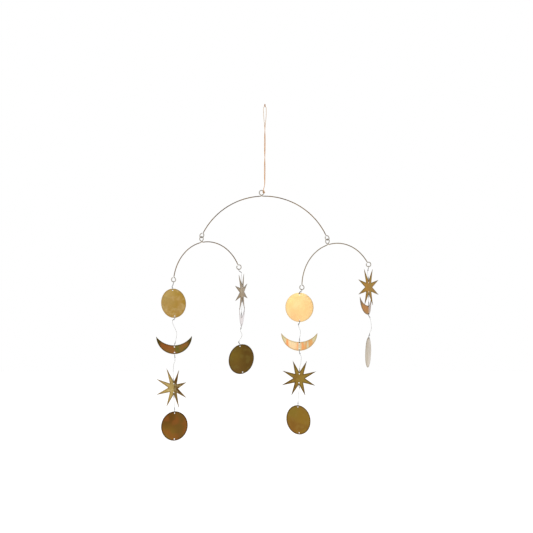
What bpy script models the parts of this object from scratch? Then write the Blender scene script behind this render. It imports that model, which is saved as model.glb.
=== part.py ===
"""A hanging mobile: a cord loop, three bowed wire arms, and four strands of brass charms on clear thread.

Metres, +Z up, and the front of the mobile faces -Y. The origin is the hanging point, where the cord
loop passes over its hook. Everything is placed from there down: the main arm hangs on the cord, the two
small arms hang in the eyes of the main arm, and each charm hangs on a thread from what is above it.
"""

import math
from dataclasses import dataclass, replace

import bmesh
import bpy
from mathutils import Matrix, Vector

# Clearance kept between two pieces that touch in the real mobile
GAP = 0.0003

# Brass wire of the arms
WIRE_DIAMETER = 0.0018
EYE_INSIDE_DIAMETER = 0.0068
LOOP_INSIDE_DIAMETER = 0.0069
BEND_INSIDE_RADIUS = 0.0003
LOOP_FOOT_HEIGHT = 0.0012
LOOP_RISE_DEGREES = 36.0
MAIN_ARM_RADIUS = 0.1290
SMALL_ARM_RADIUS = 0.0808
LEFT_ARM_TURN_DEGREES = -35.0
RIGHT_ARM_TURN_DEGREES = -36.8

# Cotton cord of the hanging loop
CORD_DIAMETER = 0.0011
CORD_DROP = 0.1600
CORD_SIDE_SHIFT = -0.0021
CORD_HOOK_DIAMETER = 0.0038
CORD_KNOT_WIDTH = 0.0026
CORD_KNOT_HEIGHT = 0.0052
HITCH_TURNS = 1
HITCH_LOOP_DEGREES = 15.0

# Clear thread between the charms
THREAD_DIAMETER = 0.0006
THREAD_KNOT_DIAMETER = 0.0011
THREAD_KNOT_LENGTH = 0.0040
THREAD_KNOT_STAND = 0.0008

# Brass sheet of the charms
SHEET_THICKNESS = 0.0006
HOLE_DIAMETER = 0.0024
HOLE_INSET = 0.0031
DISC_DIAMETER = 0.0558
CRESCENT_WIDTH = 0.0692
CRESCENT_DEPTH = 0.0338
CRESCENT_THICKNESS = 0.0167
STAR_POINTS = 8
STAR_RADIUS = 0.0360
LEFT_STAR_RADIUS = 0.0394
STAR_VALLEY_RADIUS = 0.0118

# How finely round shapes are faceted
ARC_STEP_DEGREES = 8.0
RING_STEP_DEGREES = 30.0
BEND_STEP_DEGREES = 26.0
DISC_SIDES = 36
HOLE_SIDES = 8
CRESCENT_OUTER_STEPS = 22
CRESCENT_INNER_STEPS = 14
CORD_STEP = 0.0060
HITCH_STEP_DEGREES = 36.0
HOOK_STEP_DEGREES = 30.0
THREAD_STEP = 0.0032
WIRE_RESOLUTION = 2
THREAD_RESOLUTION = 0

# Sizes that follow from the ones above
EYE_RADIUS = (EYE_INSIDE_DIAMETER + WIRE_DIAMETER) / 2
LOOP_RADIUS = (LOOP_INSIDE_DIAMETER + WIRE_DIAMETER) / 2
BEND_RADIUS = BEND_INSIDE_RADIUS + WIRE_DIAMETER / 2
WIRE_SPACING = WIRE_DIAMETER + GAP
LOOP_RISE = math.radians(LOOP_RISE_DEGREES)
LOOP_HEIGHT = LOOP_FOOT_HEIGHT + LOOP_RADIUS / math.cos(LOOP_RISE)
THREAD_OFFSET = GAP + THREAD_DIAMETER / 2
RIM_KNOT_HEIGHT = HOLE_INSET + THREAD_OFFSET + THREAD_KNOT_STAND

# Two rings that hang in each other clear each other from this turn between them
LINK_TURN = 2 * math.asin(math.sqrt(WIRE_SPACING / (EYE_RADIUS + LOOP_RADIUS)))
LINK_SPARE_TURN = math.radians(4.0)

UP = Vector((0, 0, 1))
RIGHT = Vector((1, 0, 0))
AWAY = Vector((0, 1, 0))


@dataclass(frozen=True)
class Arm:
    """A bowed wire arm, with angles in degrees from the top of its arc, positive to the right."""

    name: str
    radius: float
    turn: float
    left_end: float
    loop_at: float
    right_end: float
    loop_turn: float = 0.0
    left_eye_turn: float = 0.0
    right_eye_turn: float = 0.0


@dataclass(frozen=True)
class Charm:
    """A brass charm and the thread it hangs on.

    thread is the drop from the thread's upper knot to its lower one, and side how far the lower knot
    stands to the right. turn is about the vertical, nod tips the top away, lean tips it to the right, and
    fold is the angle creased into the sheet. kinks are the thread's route: the share of the drop, and
    the metres to the right and away.
    """

    name: str
    shape: str
    thread: float
    side: float
    turn: float
    nod: float = 0.0
    lean: float = 0.0
    fold: float = 0.0
    radius: float = STAR_RADIUS
    kinks: tuple = ()


MAIN_ARM = Arm("main_arm", MAIN_ARM_RADIUS, 0.0, -62.4, -1.9, 64.6)
LEFT_ARM = Arm(
    "left_arm", SMALL_ARM_RADIUS, LEFT_ARM_TURN_DEGREES, -79.6, -8.7, 62.0, 6.0, 16.0, 16.0
)
RIGHT_ARM = Arm(
    "right_arm", SMALL_ARM_RADIUS, RIGHT_ARM_TURN_DEGREES, -88.0, -14.5, 55.8, 6.0, 16.0, 16.0
)

# The strands, from the left. The thread of each charm is named after it.
LEFT_STRAND = (
    Charm(
        "left_top_disc", "disc", 0.0091, -0.0020, 35.9, nod=5.1, lean=-2.1, kinks=((0.72, -0.0015, 0.0008),)
    ),
    Charm(
        "left_crescent",
        "crescent",
        0.0496,
        -0.0010,
        8.0,
        lean=-0.9,
        fold=16.0,
        kinks=(
            (0.09, -0.0049, 0.0008),
            (0.23, -0.0031, -0.0012),
            (0.41, 0.0011, 0.0010),
            (0.55, 0.0039, -0.0006),
            (0.74, 0.0034, 0.0009),
            (0.90, 0.0018, -0.0008),
        ),
    ),
    Charm(
        "left_star",
        "star",
        0.0502,
        -0.0014,
        41.0,
        nod=10.3,
        lean=7.9,
        fold=22.5,
        radius=LEFT_STAR_RADIUS,
        kinks=(
            (0.13, 0.0008, 0.0008),
            (0.24, 0.0010, -0.0012),
            (0.37, -0.0011, 0.0010),
            (0.56, -0.0016, -0.0006),
            (0.90, -0.0013, 0.0009),
        ),
    ),
    Charm(
        "left_bottom_disc",
        "disc",
        0.0299,
        0.0017,
        29.2,
        nod=-1.1,
        lean=0.1,
        kinks=((0.56, -0.0003, 0.0008),),
    ),
)
INNER_LEFT_STRAND = (
    Charm(
        "inner_left_star",
        "star",
        0.0265,
        0.0060,
        71.3,
        lean=-3.0,
        fold=4.0,
        kinks=((0.15, 0.0042, 0.0008), (0.33, 0.0028, -0.0012), (0.74, 0.0001, 0.0010)),
    ),
    Charm("inner_left_crescent", "crescent", 0.0305, -0.0017, 83.0, fold=-5.0),
    Charm(
        "inner_left_disc",
        "disc",
        0.0323,
        -0.0028,
        34.7,
        nod=-6.0,
        lean=-10.7,
        kinks=(
            (0.23, -0.0012, 0.0008),
            (0.51, 0.0025, 0.0010),
            (0.74, -0.0003, -0.0006),
            (0.90, -0.0026, 0.0009),
        ),
    ),
)
INNER_RIGHT_STRAND = (
    Charm("inner_right_top_disc", "disc", 0.0020, -0.0045, 15.2, nod=2.9, lean=0.6),
    Charm(
        "inner_right_crescent",
        "crescent",
        0.0352,
        -0.0006,
        4.0,
        kinks=(
            (0.10, -0.0023, 0.0008),
            (0.29, -0.0005, -0.0012),
            (0.44, 0.0015, 0.0010),
            (0.67, 0.0015, -0.0006),
            (0.83, 0.0004, 0.0009),
        ),
    ),
    Charm(
        "inner_right_star",
        "star",
        0.0379,
        0.0002,
        12.8,
        nod=-1.4,
        lean=2.1,
        kinks=(
            (0.13, 0.0013, 0.0008),
            (0.29, 0.0037, -0.0012),
            (0.62, 0.0025, 0.0010),
            (0.79, 0.0007, -0.0006),
        ),
    ),
    Charm(
        "inner_right_bottom_disc",
        "disc",
        0.0366,
        -0.0018,
        35.0,
        nod=13.0,
        lean=6.0,
        kinks=((0.21, 0.0012, 0.0008), (0.42, 0.0002, -0.0012), (0.85, 0.0001, 0.0010)),
    ),
)
RIGHT_STRAND = (
    Charm(
        "right_star",
        "star",
        0.0221,
        0.0004,
        52.4,
        nod=1.7,
        lean=1.4,
        kinks=((0.16, -0.0009, 0.0008), (0.37, -0.0017, -0.0012), (0.62, -0.0010, 0.0010)),
    ),
    Charm("right_crescent", "crescent", 0.0194, -0.0004, 68.0, fold=17.0),
    Charm(
        "right_disc",
        "disc",
        0.0386,
        0.0005,
        75.5,
        nod=-1.1,
        lean=2.2,
        kinks=(
            (0.07, 0.0018, 0.0008),
            (0.21, 0.0034, -0.0012),
            (0.57, 0.0051, 0.0010),
            (0.84, 0.0018, -0.0006),
        ),
    ),
)

# The cord's route down one strand: the share of the drop, half the distance between the two strands, and
# how far the pair has turned about itself, in degrees. The other strand mirrors it.
CORD_ROUTE = (
    (0.05, 0.00260, 0),
    (0.11, 0.00230, 0),
    (0.17, 0.00140, 15),
    (0.23, 0.00085, 60),
    (0.32, 0.00075, 115),
    (0.42, 0.00075, 175),
    (0.52, 0.00075, 230),
    (0.62, 0.00075, 285),
    (0.72, 0.00075, 345),
    (0.82, 0.00075, 400),
    (0.91, 0.00080, 445),
)


def remove_objects():
    """Start from an empty scene."""
    for old in list(bpy.data.objects):
        bpy.data.objects.remove(old)


def collection(name):
    made = bpy.data.collections.new(name)
    bpy.context.scene.collection.children.link(made)
    return made


def material(name, colour, metallic, roughness, transmission=0.0):
    made = bpy.data.materials.new(name)
    made.use_nodes = True
    shader = made.node_tree.nodes["Principled BSDF"]
    shader.inputs["Base Color"].default_value = (*colour, 1)
    shader.inputs["Metallic"].default_value = metallic
    shader.inputs["Roughness"].default_value = roughness
    shader.inputs["Transmission Weight"].default_value = transmission
    return made


def steps_between(first, last, step):
    """Evenly spaced values from first to last, no further apart than step."""
    count = max(1, math.ceil(abs(last - first) / step - 1e-6))
    return [first + (last - first) * i / count for i in range(count + 1)]


def smooth_route(points, step):
    """Points along one smooth curve through the route's own points, about a step apart."""
    ends = [2 * points[0] - points[1], *points, 2 * points[-1] - points[-2]]
    smooth = [points[0]]
    for before, start, end, after in zip(ends, ends[1:], ends[2:], ends[3:]):
        pieces = max(1, round((end - start).length / step))
        for i in range(1, pieces + 1):
            t = i / pieces
            smooth.append(
                0.5
                * (
                    2 * start
                    + (end - before) * t
                    + (2 * before - 5 * start + 4 * end - after) * t**2
                    + (3 * start - before - 3 * end + after) * t**3
                )
            )
    return smooth


def tube(name, points, diameter, resolution, parent, into, finish, widths=None):
    """A round wire, cord or thread along the points, closed at both ends."""
    data = bpy.data.curves.new(name, "CURVE")
    data.dimensions = "3D"
    data.bevel_depth = diameter / 2
    data.bevel_resolution = resolution
    data.use_fill_caps = True
    spline = data.splines.new("POLY")
    spline.points.add(len(points) - 1)
    for i, (slot, point) in enumerate(zip(spline.points, points)):
        slot.co = (*point, 1)
        slot.radius = widths[i] if widths else 1.0
    data.materials.append(finish)
    made = bpy.data.objects.new(name, data)
    made.parent = parent
    into.objects.link(made)
    return made


def made_mesh(curve_object):
    """The same object with its curve turned into a mesh whose caps are welded on."""
    bpy.context.view_layer.update()
    graph = bpy.context.evaluated_depsgraph_get()
    mesh = bpy.data.meshes.new_from_object(curve_object.evaluated_get(graph))
    welded = bmesh.new()
    welded.from_mesh(mesh)
    bmesh.ops.remove_doubles(welded, verts=welded.verts, dist=1e-6)
    welded.to_mesh(mesh)
    welded.free()
    name = curve_object.name
    made = bpy.data.objects.new(name, mesh)
    made.matrix_world = curve_object.matrix_world
    made.parent = curve_object.parent
    for into in curve_object.users_collection:
        into.objects.link(made)
    bpy.data.objects.remove(curve_object)
    made.name = name
    return made


def arc_point(radius, degrees):
    angle = math.radians(degrees)
    return radius * (math.sin(angle) * RIGHT + math.cos(angle) * UP)


def level_in_plane(turn_degrees, along):
    """The direction across along in the upright plane that faces turn_degrees about the vertical."""
    angle = math.radians(turn_degrees)
    level = math.cos(angle) * RIGHT + math.sin(angle) * AWAY
    return (level - level.dot(along) * along).normalized()


def eye_frame(arm, right_side):
    """The neck, the direction out of it, and the sideways direction of the eye at one end of an arm."""
    end = arm.right_end if right_side else arm.left_end
    neck = arc_point(arm.radius, end)
    sense = 1 if right_side else -1
    angle = math.radians(end)
    along = sense * (math.cos(angle) * RIGHT - math.sin(angle) * UP)
    turn = arm.right_eye_turn if right_side else arm.left_eye_turn
    return neck, along, level_in_plane(turn, along)


def eye_centre(arm, right_side):
    neck, along, _ = eye_frame(arm, right_side)
    return neck + along * math.sqrt(EYE_RADIUS**2 + 2 * EYE_RADIUS * BEND_RADIUS)


def eye_points(arm, right_side):
    """The wire from the neck round the eye to its cut tip, which stops a gap short of the neck."""
    neck, along, side = eye_frame(arm, right_side)
    centre = eye_centre(arm, right_side)
    meet = math.atan2((centre - neck).length, BEND_RADIUS)
    tip = 2 * math.pi - 2 * math.asin(WIRE_SPACING / (2 * EYE_RADIUS))
    points = []
    for angle in steps_between(0, meet, math.radians(BEND_STEP_DEGREES))[:-1]:
        points.append(
            neck
            + BEND_RADIUS * (math.sin(angle) * along + (1 - math.cos(angle)) * side)
        )
    for angle in steps_between(math.pi / 2 - meet, tip, math.radians(RING_STEP_DEGREES)):
        points.append(
            centre + EYE_RADIUS * (math.sin(angle) * side - math.cos(angle) * along)
        )
    return points


def loop_frame(arm):
    """The foot of the arm's loop on its arc, the way out of the arc, across the loop, and through it."""
    foot = arc_point(arm.radius, arm.loop_at)
    out = foot.normalized()
    across = level_in_plane(arm.loop_turn, out)
    return foot, out, across, out.cross(across)


def loop_centre(arm):
    foot, out, _, _ = loop_frame(arm)
    return foot + LOOP_HEIGHT * out


def loop_point(arm, angle):
    """A point of the loop's ring, at an angle from its right side. The ring is one turn of a spring, so
    that its ends lie a wire's spacing apart where they cross."""
    _, out, across, through = loop_frame(arm)
    ring = LOOP_RADIUS * (math.cos(angle) * across + math.sin(angle) * out)
    ramp = (angle - math.pi / 2) / (2 * math.pi - 2 * LOOP_RISE)
    return loop_centre(arm) + ring + ramp * WIRE_SPACING * through


def loop_points(arm):
    """The wire as it rises from the arc, makes one full turn and goes back down, crossing itself at the
    foot with a gap between the strands."""
    foot, out, across, through = loop_frame(arm)
    bend_reach = BEND_RADIUS * math.tan(LOOP_RISE / 2)
    start = -LOOP_FOOT_HEIGHT / math.tan(LOOP_RISE) - bend_reach
    rise = [
        (start + BEND_RADIUS * math.sin(a), BEND_RADIUS * (1 - math.cos(a)))
        for a in steps_between(0, LOOP_RISE, math.radians(BEND_STEP_DEGREES))
    ]
    first = LOOP_RISE - math.pi / 2
    points = [
        foot + x * across + y * out - through * WIRE_SPACING / 2 for x, y in rise
    ]
    for angle in steps_between(first, math.pi - first, math.radians(RING_STEP_DEGREES)):
        points.append(loop_point(arm, angle))
    points += [
        foot - x * across + y * out + through * WIRE_SPACING / 2
        for x, y in reversed(rise)
    ]
    return points


def arm_points(arm):
    """The whole wire of an arm in its own frame, whose origin is the centre of its arc."""
    foot_half = math.degrees(
        (LOOP_FOOT_HEIGHT / math.tan(LOOP_RISE) + BEND_RADIUS) / arm.radius
    )
    left = steps_between(arm.left_end, arm.loop_at - foot_half, ARC_STEP_DEGREES)
    right = steps_between(arm.loop_at + foot_half, arm.right_end, ARC_STEP_DEGREES)
    return (
        eye_points(arm, False)[:0:-1]
        + [arc_point(arm.radius, a) for a in left[:-1]]
        + loop_points(arm)
        + [arc_point(arm.radius, a) for a in right[1:]]
        + eye_points(arm, True)[1:]
    )


def lowest_of_eye(arm, right_side):
    """The lowest point of the eye's wire, and the level direction of the wire there, in the arm's frame."""
    _, along, side = eye_frame(arm, right_side)
    down = -(UP.dot(along) * along + UP.dot(side) * side).normalized()
    level = along.cross(side).cross(down).normalized()
    return eye_centre(arm, right_side) + EYE_RADIUS * down, level


def highest_of_loop(arm):
    _, out, across, _ = loop_frame(arm)
    return loop_point(arm, math.atan2(UP.dot(out), UP.dot(across)))


def arm_turn(arm):
    return Matrix.Rotation(math.radians(arm.turn), 3, "Z")


def main_arm_place():
    """Where the main arm's centre is, with its loop hitched at the end of the cord."""
    hitch = loop_point(MAIN_ARM, math.radians(HITCH_LOOP_DEGREES))
    return Vector((CORD_SIDE_SHIFT, 0, -CORD_DROP)) - hitch


def main_arm_linked():
    """The main arm with its eyes turned so that the loops of the small arms hang free in them."""
    left, right = (
        arm.turn + arm.loop_turn + math.degrees(LINK_TURN + LINK_SPARE_TURN)
        for arm in (LEFT_ARM, RIGHT_ARM)
    )
    return replace(MAIN_ARM, left_eye_turn=left, right_eye_turn=right)


def small_arm_place(main, main_place, arm, right_side):
    """Where a small arm's centre is, with its loop hanging in the main arm's eye."""
    eye, _ = lowest_of_eye(main, right_side)
    top = main_place + eye + WIRE_SPACING * UP
    return top - arm_turn(arm) @ highest_of_loop(arm)


def add_arm(arm, place, parent, into, finish):
    made = tube(arm.name, arm_points(arm), WIRE_DIAMETER, WIRE_RESOLUTION, parent, into, finish)
    made.location = place
    made.rotation_euler.z = math.radians(arm.turn)
    return made


def cord_strand(sense, main, main_place):
    """One strand of the cord, from the hook down to its end in the hitch. sense is -1 or 1."""
    reach = CORD_HOOK_DIAMETER / 2 + CORD_DIAMETER / 2
    centre = -CORD_HOOK_DIAMETER / 2 * UP
    points = [
        centre + reach * (sense * math.sin(a) * RIGHT + math.cos(a) * UP)
        for a in steps_between(0, math.pi / 2, math.radians(HOOK_STEP_DEGREES))
    ]
    for share, half, degrees in CORD_ROUTE:
        turn = math.radians(degrees)
        spot = Vector((share**2 * CORD_SIDE_SHIFT / 4, 0, -share * CORD_DROP))
        points.append(
            spot + sense * half * (math.cos(turn) * RIGHT + math.sin(turn) * AWAY)
        )
    return points + hitch_points(sense, main, main_place)


def hitch_points(sense, main, main_place):
    """A strand's turns round the wire of the main loop, which the other strand's turns lie between."""
    reach = WIRE_DIAMETER / 2 + GAP + CORD_DIAMETER / 2
    pitch = 2 * (CORD_DIAMETER + GAP) / (1 - reach / LOOP_RADIUS)
    half = HITCH_TURNS * pitch / 2 / LOOP_RADIUS
    _, loop_out, across, through = loop_frame(main)
    points = []
    for turned in steps_between(0, HITCH_TURNS * 2 * math.pi, math.radians(HITCH_STEP_DEGREES)):
        share = turned / (HITCH_TURNS * 2 * math.pi)
        angle = math.radians(HITCH_LOOP_DEGREES) + half * (1 - 2 * share)
        ring = loop_point(main, angle)
        out = math.cos(angle) * across + math.sin(angle) * loop_out
        points.append(
            main_place
            + ring
            + sense * reach * (math.sin(turned) * out - math.cos(turned) * through)
        )
    return points


def add_cord(main, main_place, parent, into, finish):
    """The cord loop, from its hitch up over the hook and back, with the knot that closes it on top."""
    left = smooth_route(cord_strand(-1, main, main_place), CORD_STEP)
    right = smooth_route(cord_strand(1, main, main_place), CORD_STEP)
    made = made_mesh(
        tube("hanging_cord", left[::-1] + right[1:], CORD_DIAMETER, 2, parent, into, finish)
    )
    cutters = collection("helpers")
    bpy.ops.mesh.primitive_uv_sphere_add(
        segments=10,
        ring_count=6,
        radius=0.5,
        location=(0, 0, CORD_KNOT_HEIGHT / 2),
    )
    knot = bpy.context.active_object
    knot.name = "cord_knot_shape"
    knot.scale = (CORD_KNOT_WIDTH, CORD_KNOT_WIDTH, CORD_KNOT_HEIGHT)
    for old in knot.users_collection:
        old.objects.unlink(knot)
    cutters.objects.link(knot)
    knot.hide_render = True
    knot.display_type = "WIRE"
    join = made.modifiers.new("knot", "BOOLEAN")
    join.operation = "UNION"
    join.object = knot
    return made


def disc_outline():
    """A disc below its upper hole."""
    radius = DISC_DIAMETER / 2
    drop = radius - HOLE_INSET
    return [
        (radius * math.sin(a), radius * math.cos(a) - drop)
        for a in (2 * math.pi * i / DISC_SIDES for i in range(DISC_SIDES))
    ]


def bow(width, depth, steps):
    """Points along an arc that sags by depth between two level ends, from the left end to the right."""
    radius = ((width / 2) ** 2 + depth**2) / (2 * depth)
    half = math.atan2(width / 2, radius - depth)
    return [
        (radius * math.sin(a), radius * (1 - math.cos(a)))
        for a in (-half + 2 * half * i / steps for i in range(steps + 1))
    ]


def crescent_outline():
    """A crescent with its horns up, its inner edge a hole's inset above the upper hole."""
    outer = bow(CRESCENT_WIDTH, CRESCENT_DEPTH, CRESCENT_OUTER_STEPS)
    inner = bow(
        CRESCENT_WIDTH, CRESCENT_DEPTH - CRESCENT_THICKNESS, CRESCENT_INNER_STEPS
    )
    outer = [(x, y + HOLE_INSET - CRESCENT_THICKNESS) for x, y in outer]
    inner = [(x, y + HOLE_INSET) for x, y in inner]
    return outer + inner[-2:0:-1]


def star_outline(radius):
    """A star with a valley at the top, just above the upper hole."""
    points = []
    for i in range(2 * STAR_POINTS):
        reach = radius if i % 2 else STAR_VALLEY_RADIUS
        angle = math.pi * i / STAR_POINTS
        points.append(
            (
                reach * math.sin(angle),
                reach * math.cos(angle) - STAR_VALLEY_RADIUS + HOLE_INSET,
            )
        )
    return points


def charm_outline(charm):
    if charm.shape == "disc":
        return disc_outline()
    if charm.shape == "crescent":
        return crescent_outline()
    return star_outline(charm.radius)


def hole_spacing(charm):
    """How far a charm's lower hole is below its upper one."""
    across = {
        "disc": DISC_DIAMETER,
        "crescent": CRESCENT_THICKNESS,
        "star": 2 * STAR_VALLEY_RADIUS,
    }
    return across[charm.shape] - 2 * HOLE_INSET


def charm_turn(charm):
    """The charm's attitude: its front faces -Y before it is turned."""
    return (
        Matrix.Rotation(math.radians(charm.turn), 3, "Z")
        @ Matrix.Rotation(math.radians(-charm.nod), 3, "X")
        @ Matrix.Rotation(math.radians(charm.lean), 3, "Y")
    )


def fold_sheet(mesh, degrees):
    """Crease an upright sheet on its centre line, both halves turned away from the front."""
    half = math.radians(degrees) / 2
    work = bmesh.new()
    work.from_mesh(mesh)
    everything = work.verts[:] + work.edges[:] + work.faces[:]
    bmesh.ops.bisect_plane(work, geom=everything, dist=1e-6, plane_co=(0, 0, 0), plane_no=(1, 0, 0))
    for vert in work.verts:
        x, _, z = vert.co
        if abs(x) < 1e-6:
            vert.co.z = z / math.cos(half)
        else:
            sense = math.copysign(1, x)
            vert.co.x = x * math.cos(half) + sense * z * math.sin(half)
            vert.co.z = z * math.cos(half) - abs(x) * math.sin(half)
    work.to_mesh(mesh)
    work.free()


def add_charm(charm, hole, parent, into, finish):
    """A flat charm with its two thread holes, hung with its upper hole at the point hole."""
    data = bpy.data.curves.new(charm.name, "CURVE")
    data.dimensions = "2D"
    data.fill_mode = "BOTH"
    data.extrude = SHEET_THICKNESS / 2
    radius = HOLE_DIAMETER / 2
    ring = [
        (radius * math.sin(a), radius * math.cos(a))
        for a in (2 * math.pi * i / HOLE_SIDES for i in range(HOLE_SIDES))
    ]
    lower = [(x, y - hole_spacing(charm)) for x, y in ring]
    for line in (charm_outline(charm), ring, lower):
        spline = data.splines.new("POLY")
        spline.points.add(len(line) - 1)
        spline.use_cyclic_u = True
        for slot, (x, y) in zip(spline.points, line):
            slot.co = (x, y, 0, 1)
    data.materials.append(finish)
    flat = bpy.data.objects.new(charm.name, data)
    flat.parent = parent
    into.objects.link(flat)
    made = made_mesh(flat)
    if charm.fold:
        fold_sheet(made.data, charm.fold)
    stand_up = Matrix.Rotation(math.pi / 2, 3, "X")
    made.location = hole
    made.rotation_euler = (charm_turn(charm) @ stand_up).to_euler()
    return made


def thread_loop_on_wire(spot, level):
    """The thread's loop over an eye's wire, from its loose tip to the knot below the wire."""
    reach = WIRE_DIAMETER / 2 + THREAD_OFFSET
    side = UP.cross(level)
    points = [
        spot + reach * (math.cos(a) * side + math.sin(a) * UP)
        for a in (math.radians(d) for d in range(230, -61, -36))
    ]
    return points + [spot - (reach + THREAD_KNOT_STAND) * UP]


def thread_loop_on_charm(charm, hole, outward):
    """The thread's loop through a hole and round the rim, from its loose tip to the knot off the rim."""
    front = charm_turn(charm) @ -AWAY
    reach = SHEET_THICKNESS / 2 + THREAD_OFFSET
    edge = HOLE_DIAMETER / 2
    slant = THREAD_OFFSET * math.sqrt(0.5)
    line = (
        (-reach, HOLE_INSET + THREAD_OFFSET),
        (-reach, edge),
        (-SHEET_THICKNESS / 2 - slant, edge - slant),
        (0, edge - THREAD_OFFSET),
        (SHEET_THICKNESS / 2 + slant, edge - slant),
        (reach, edge),
        (reach, HOLE_INSET),
        (0, RIM_KNOT_HEIGHT),
    )
    return [hole + x * front + y * outward for x, y in line]


def knot_widths(points, first, last):
    """Each point's width in thread diameters, with a thick knot at both ends of the run first to last."""
    along = [0.0]
    for before, here in zip(points[first:], points[first + 1 : last + 1]):
        along.append(along[-1] + (here - before).length)
    knot = min(THREAD_KNOT_LENGTH, along[-1] / 3)
    thick = THREAD_KNOT_DIAMETER / THREAD_DIAMETER
    run = [
        thick if min(here, along[-1] - here) <= knot + THREAD_STEP / 3 else 1.0
        for here in along
    ]
    return [1.0] * first + run + [1.0] * (len(points) - last - 1)


def add_thread(name, upper, lower, kinks, parent, into, finish):
    """A thread from the knot at the end of one loop, along its kinks, to the knot of the other loop."""
    start, end = upper[-1], lower[-1]
    middle = [
        start.lerp(end, share) + right * RIGHT + away * AWAY
        for share, right, away in kinks
    ]
    route = smooth_route([start, *middle, end], THREAD_STEP)
    points = upper[:-1] + route + lower[-2::-1]
    first = len(upper) - 1
    widths = knot_widths(points, first, first + len(route) - 1)
    return tube(
        name, points, THREAD_DIAMETER, THREAD_RESOLUTION, parent, into, finish, widths
    )


def add_strand(charms, eye, level, parent, into, thread_finish, charm_finish):
    """A strand of charms hung from an eye's lowest point, where the wire runs in the direction level."""
    loop = thread_loop_on_wire(eye, level)
    for charm in charms:
        up = charm_turn(charm) @ UP
        knot = loop[-1] + charm.side * RIGHT - charm.thread * UP
        hole = knot - RIM_KNOT_HEIGHT * up
        rim_loop = thread_loop_on_charm(charm, hole, up)
        add_thread(
            charm.name + "_thread", loop, rim_loop, charm.kinks, parent, into, thread_finish
        )
        add_charm(charm, hole, parent, into, charm_finish)
        loop = thread_loop_on_charm(charm, hole - hole_spacing(charm) * up, -up)


def main():
    remove_objects()
    parts = collection("hanging_mobile")
    wire = material("brass_wire", (0.42, 0.36, 0.28), 1.0, 0.32)
    sheet = material("brass_sheet", (0.55, 0.38, 0.12), 1.0, 0.25)
    thread = material("clear_thread", (0.80, 0.80, 0.84), 0.0, 0.15, 0.6)
    cotton = material("cotton_cord", (0.62, 0.46, 0.33), 0.0, 0.9)

    hanging_point = bpy.data.objects.new("hanging_point", None)
    parts.objects.link(hanging_point)

    main_arm = main_arm_linked()
    main_place = main_arm_place()
    add_arm(main_arm, main_place, hanging_point, parts, wire)
    add_cord(main_arm, main_place, hanging_point, parts, cotton)

    sides = (
        (LEFT_ARM, False, LEFT_STRAND, INNER_LEFT_STRAND),
        (RIGHT_ARM, True, INNER_RIGHT_STRAND, RIGHT_STRAND),
    )
    for arm, right_side, left_strand, right_strand in sides:
        place = small_arm_place(main_arm, main_place, arm, right_side)
        add_arm(arm, place, hanging_point, parts, wire)
        for strand, on_right in ((left_strand, False), (right_strand, True)):
            spot, level = lowest_of_eye(arm, on_right)
            eye = place + arm_turn(arm) @ spot
            add_strand(
                strand, eye, arm_turn(arm) @ level, hanging_point, parts, thread, sheet
            )


main()
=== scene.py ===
"""The looks of a hanging mobile: twine, brass wire, beaten brass charms and clear thread.

Metres, +Z up, the front faces -Y and the origin is the hanging point at the top of the cord. Every piece
but the twine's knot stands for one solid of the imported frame. The cord hangs from the origin, the arms
and the charms take their places from their solids' boxes, and the threads run between them.
"""

from __future__ import annotations

import logging
import math
from collections.abc import Callable, Iterable, Sequence
from dataclasses import dataclass, field
from enum import Enum
from functools import partial
from typing import Any

import bmesh
import bpy
import numpy as np
from mathutils import Matrix, Vector, noise
from mathutils.geometry import delaunay_2d_cdt

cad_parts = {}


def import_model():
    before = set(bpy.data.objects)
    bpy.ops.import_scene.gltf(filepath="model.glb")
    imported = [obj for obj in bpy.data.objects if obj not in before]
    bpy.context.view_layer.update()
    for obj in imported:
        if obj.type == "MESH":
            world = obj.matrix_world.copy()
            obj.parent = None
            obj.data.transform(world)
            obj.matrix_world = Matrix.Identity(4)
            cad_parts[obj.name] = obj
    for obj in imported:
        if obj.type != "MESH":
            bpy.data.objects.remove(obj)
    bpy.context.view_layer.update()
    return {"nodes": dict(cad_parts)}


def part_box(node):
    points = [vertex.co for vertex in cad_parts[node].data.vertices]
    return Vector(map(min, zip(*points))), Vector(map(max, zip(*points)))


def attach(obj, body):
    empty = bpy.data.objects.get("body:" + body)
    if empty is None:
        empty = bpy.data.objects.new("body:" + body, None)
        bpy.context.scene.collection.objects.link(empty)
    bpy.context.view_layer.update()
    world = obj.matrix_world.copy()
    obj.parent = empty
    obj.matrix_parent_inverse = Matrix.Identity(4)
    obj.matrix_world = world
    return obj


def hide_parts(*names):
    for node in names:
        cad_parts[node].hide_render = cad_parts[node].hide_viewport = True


log = logging.getLogger("hanging_mobile")

BODY = "root"

UP = Vector((0, 0, 1))
RIGHT = Vector((1, 0, 0))
AWAY = Vector((0, 1, 0))

# Clearance between pieces that touch, as the solids have it
GAP = 0.0003
# Points closer than the first are merged, and the second is the rounding of a triangulation
SAME_POINT = 1e-7
TRIANGLE_ROUNDING = 1e-8
# Less than any step: it keeps sums of lengths from overshooting by their rounding
HAIR = 1e-6

Point2 = tuple[float, float]
Span = tuple[float, float]
Kink = tuple[float, float, float]
Layer = tuple[str, Any, Span, Span]

# How a tint's share goes from one end of its span to the other
GROWING = (0.0, 1.0)


def linear(hex_colour: str) -> tuple[float, float, float, float]:
    """Turn an sRGB hex colour into the linear RGBA that Blender's sockets take.

    Args:
        hex_colour: Six hex digits, such as "b08d57".

    Returns:
        Red, green and blue in linear light, and an alpha of 1.
    """
    values = (int(hex_colour[i : i + 2], 16) / 255 for i in (0, 2, 4))
    light = (v / 12.92 if v <= 0.04045 else ((v + 0.055) / 1.055) ** 2.4 for v in values)
    return (*light, 1.0)


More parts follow.
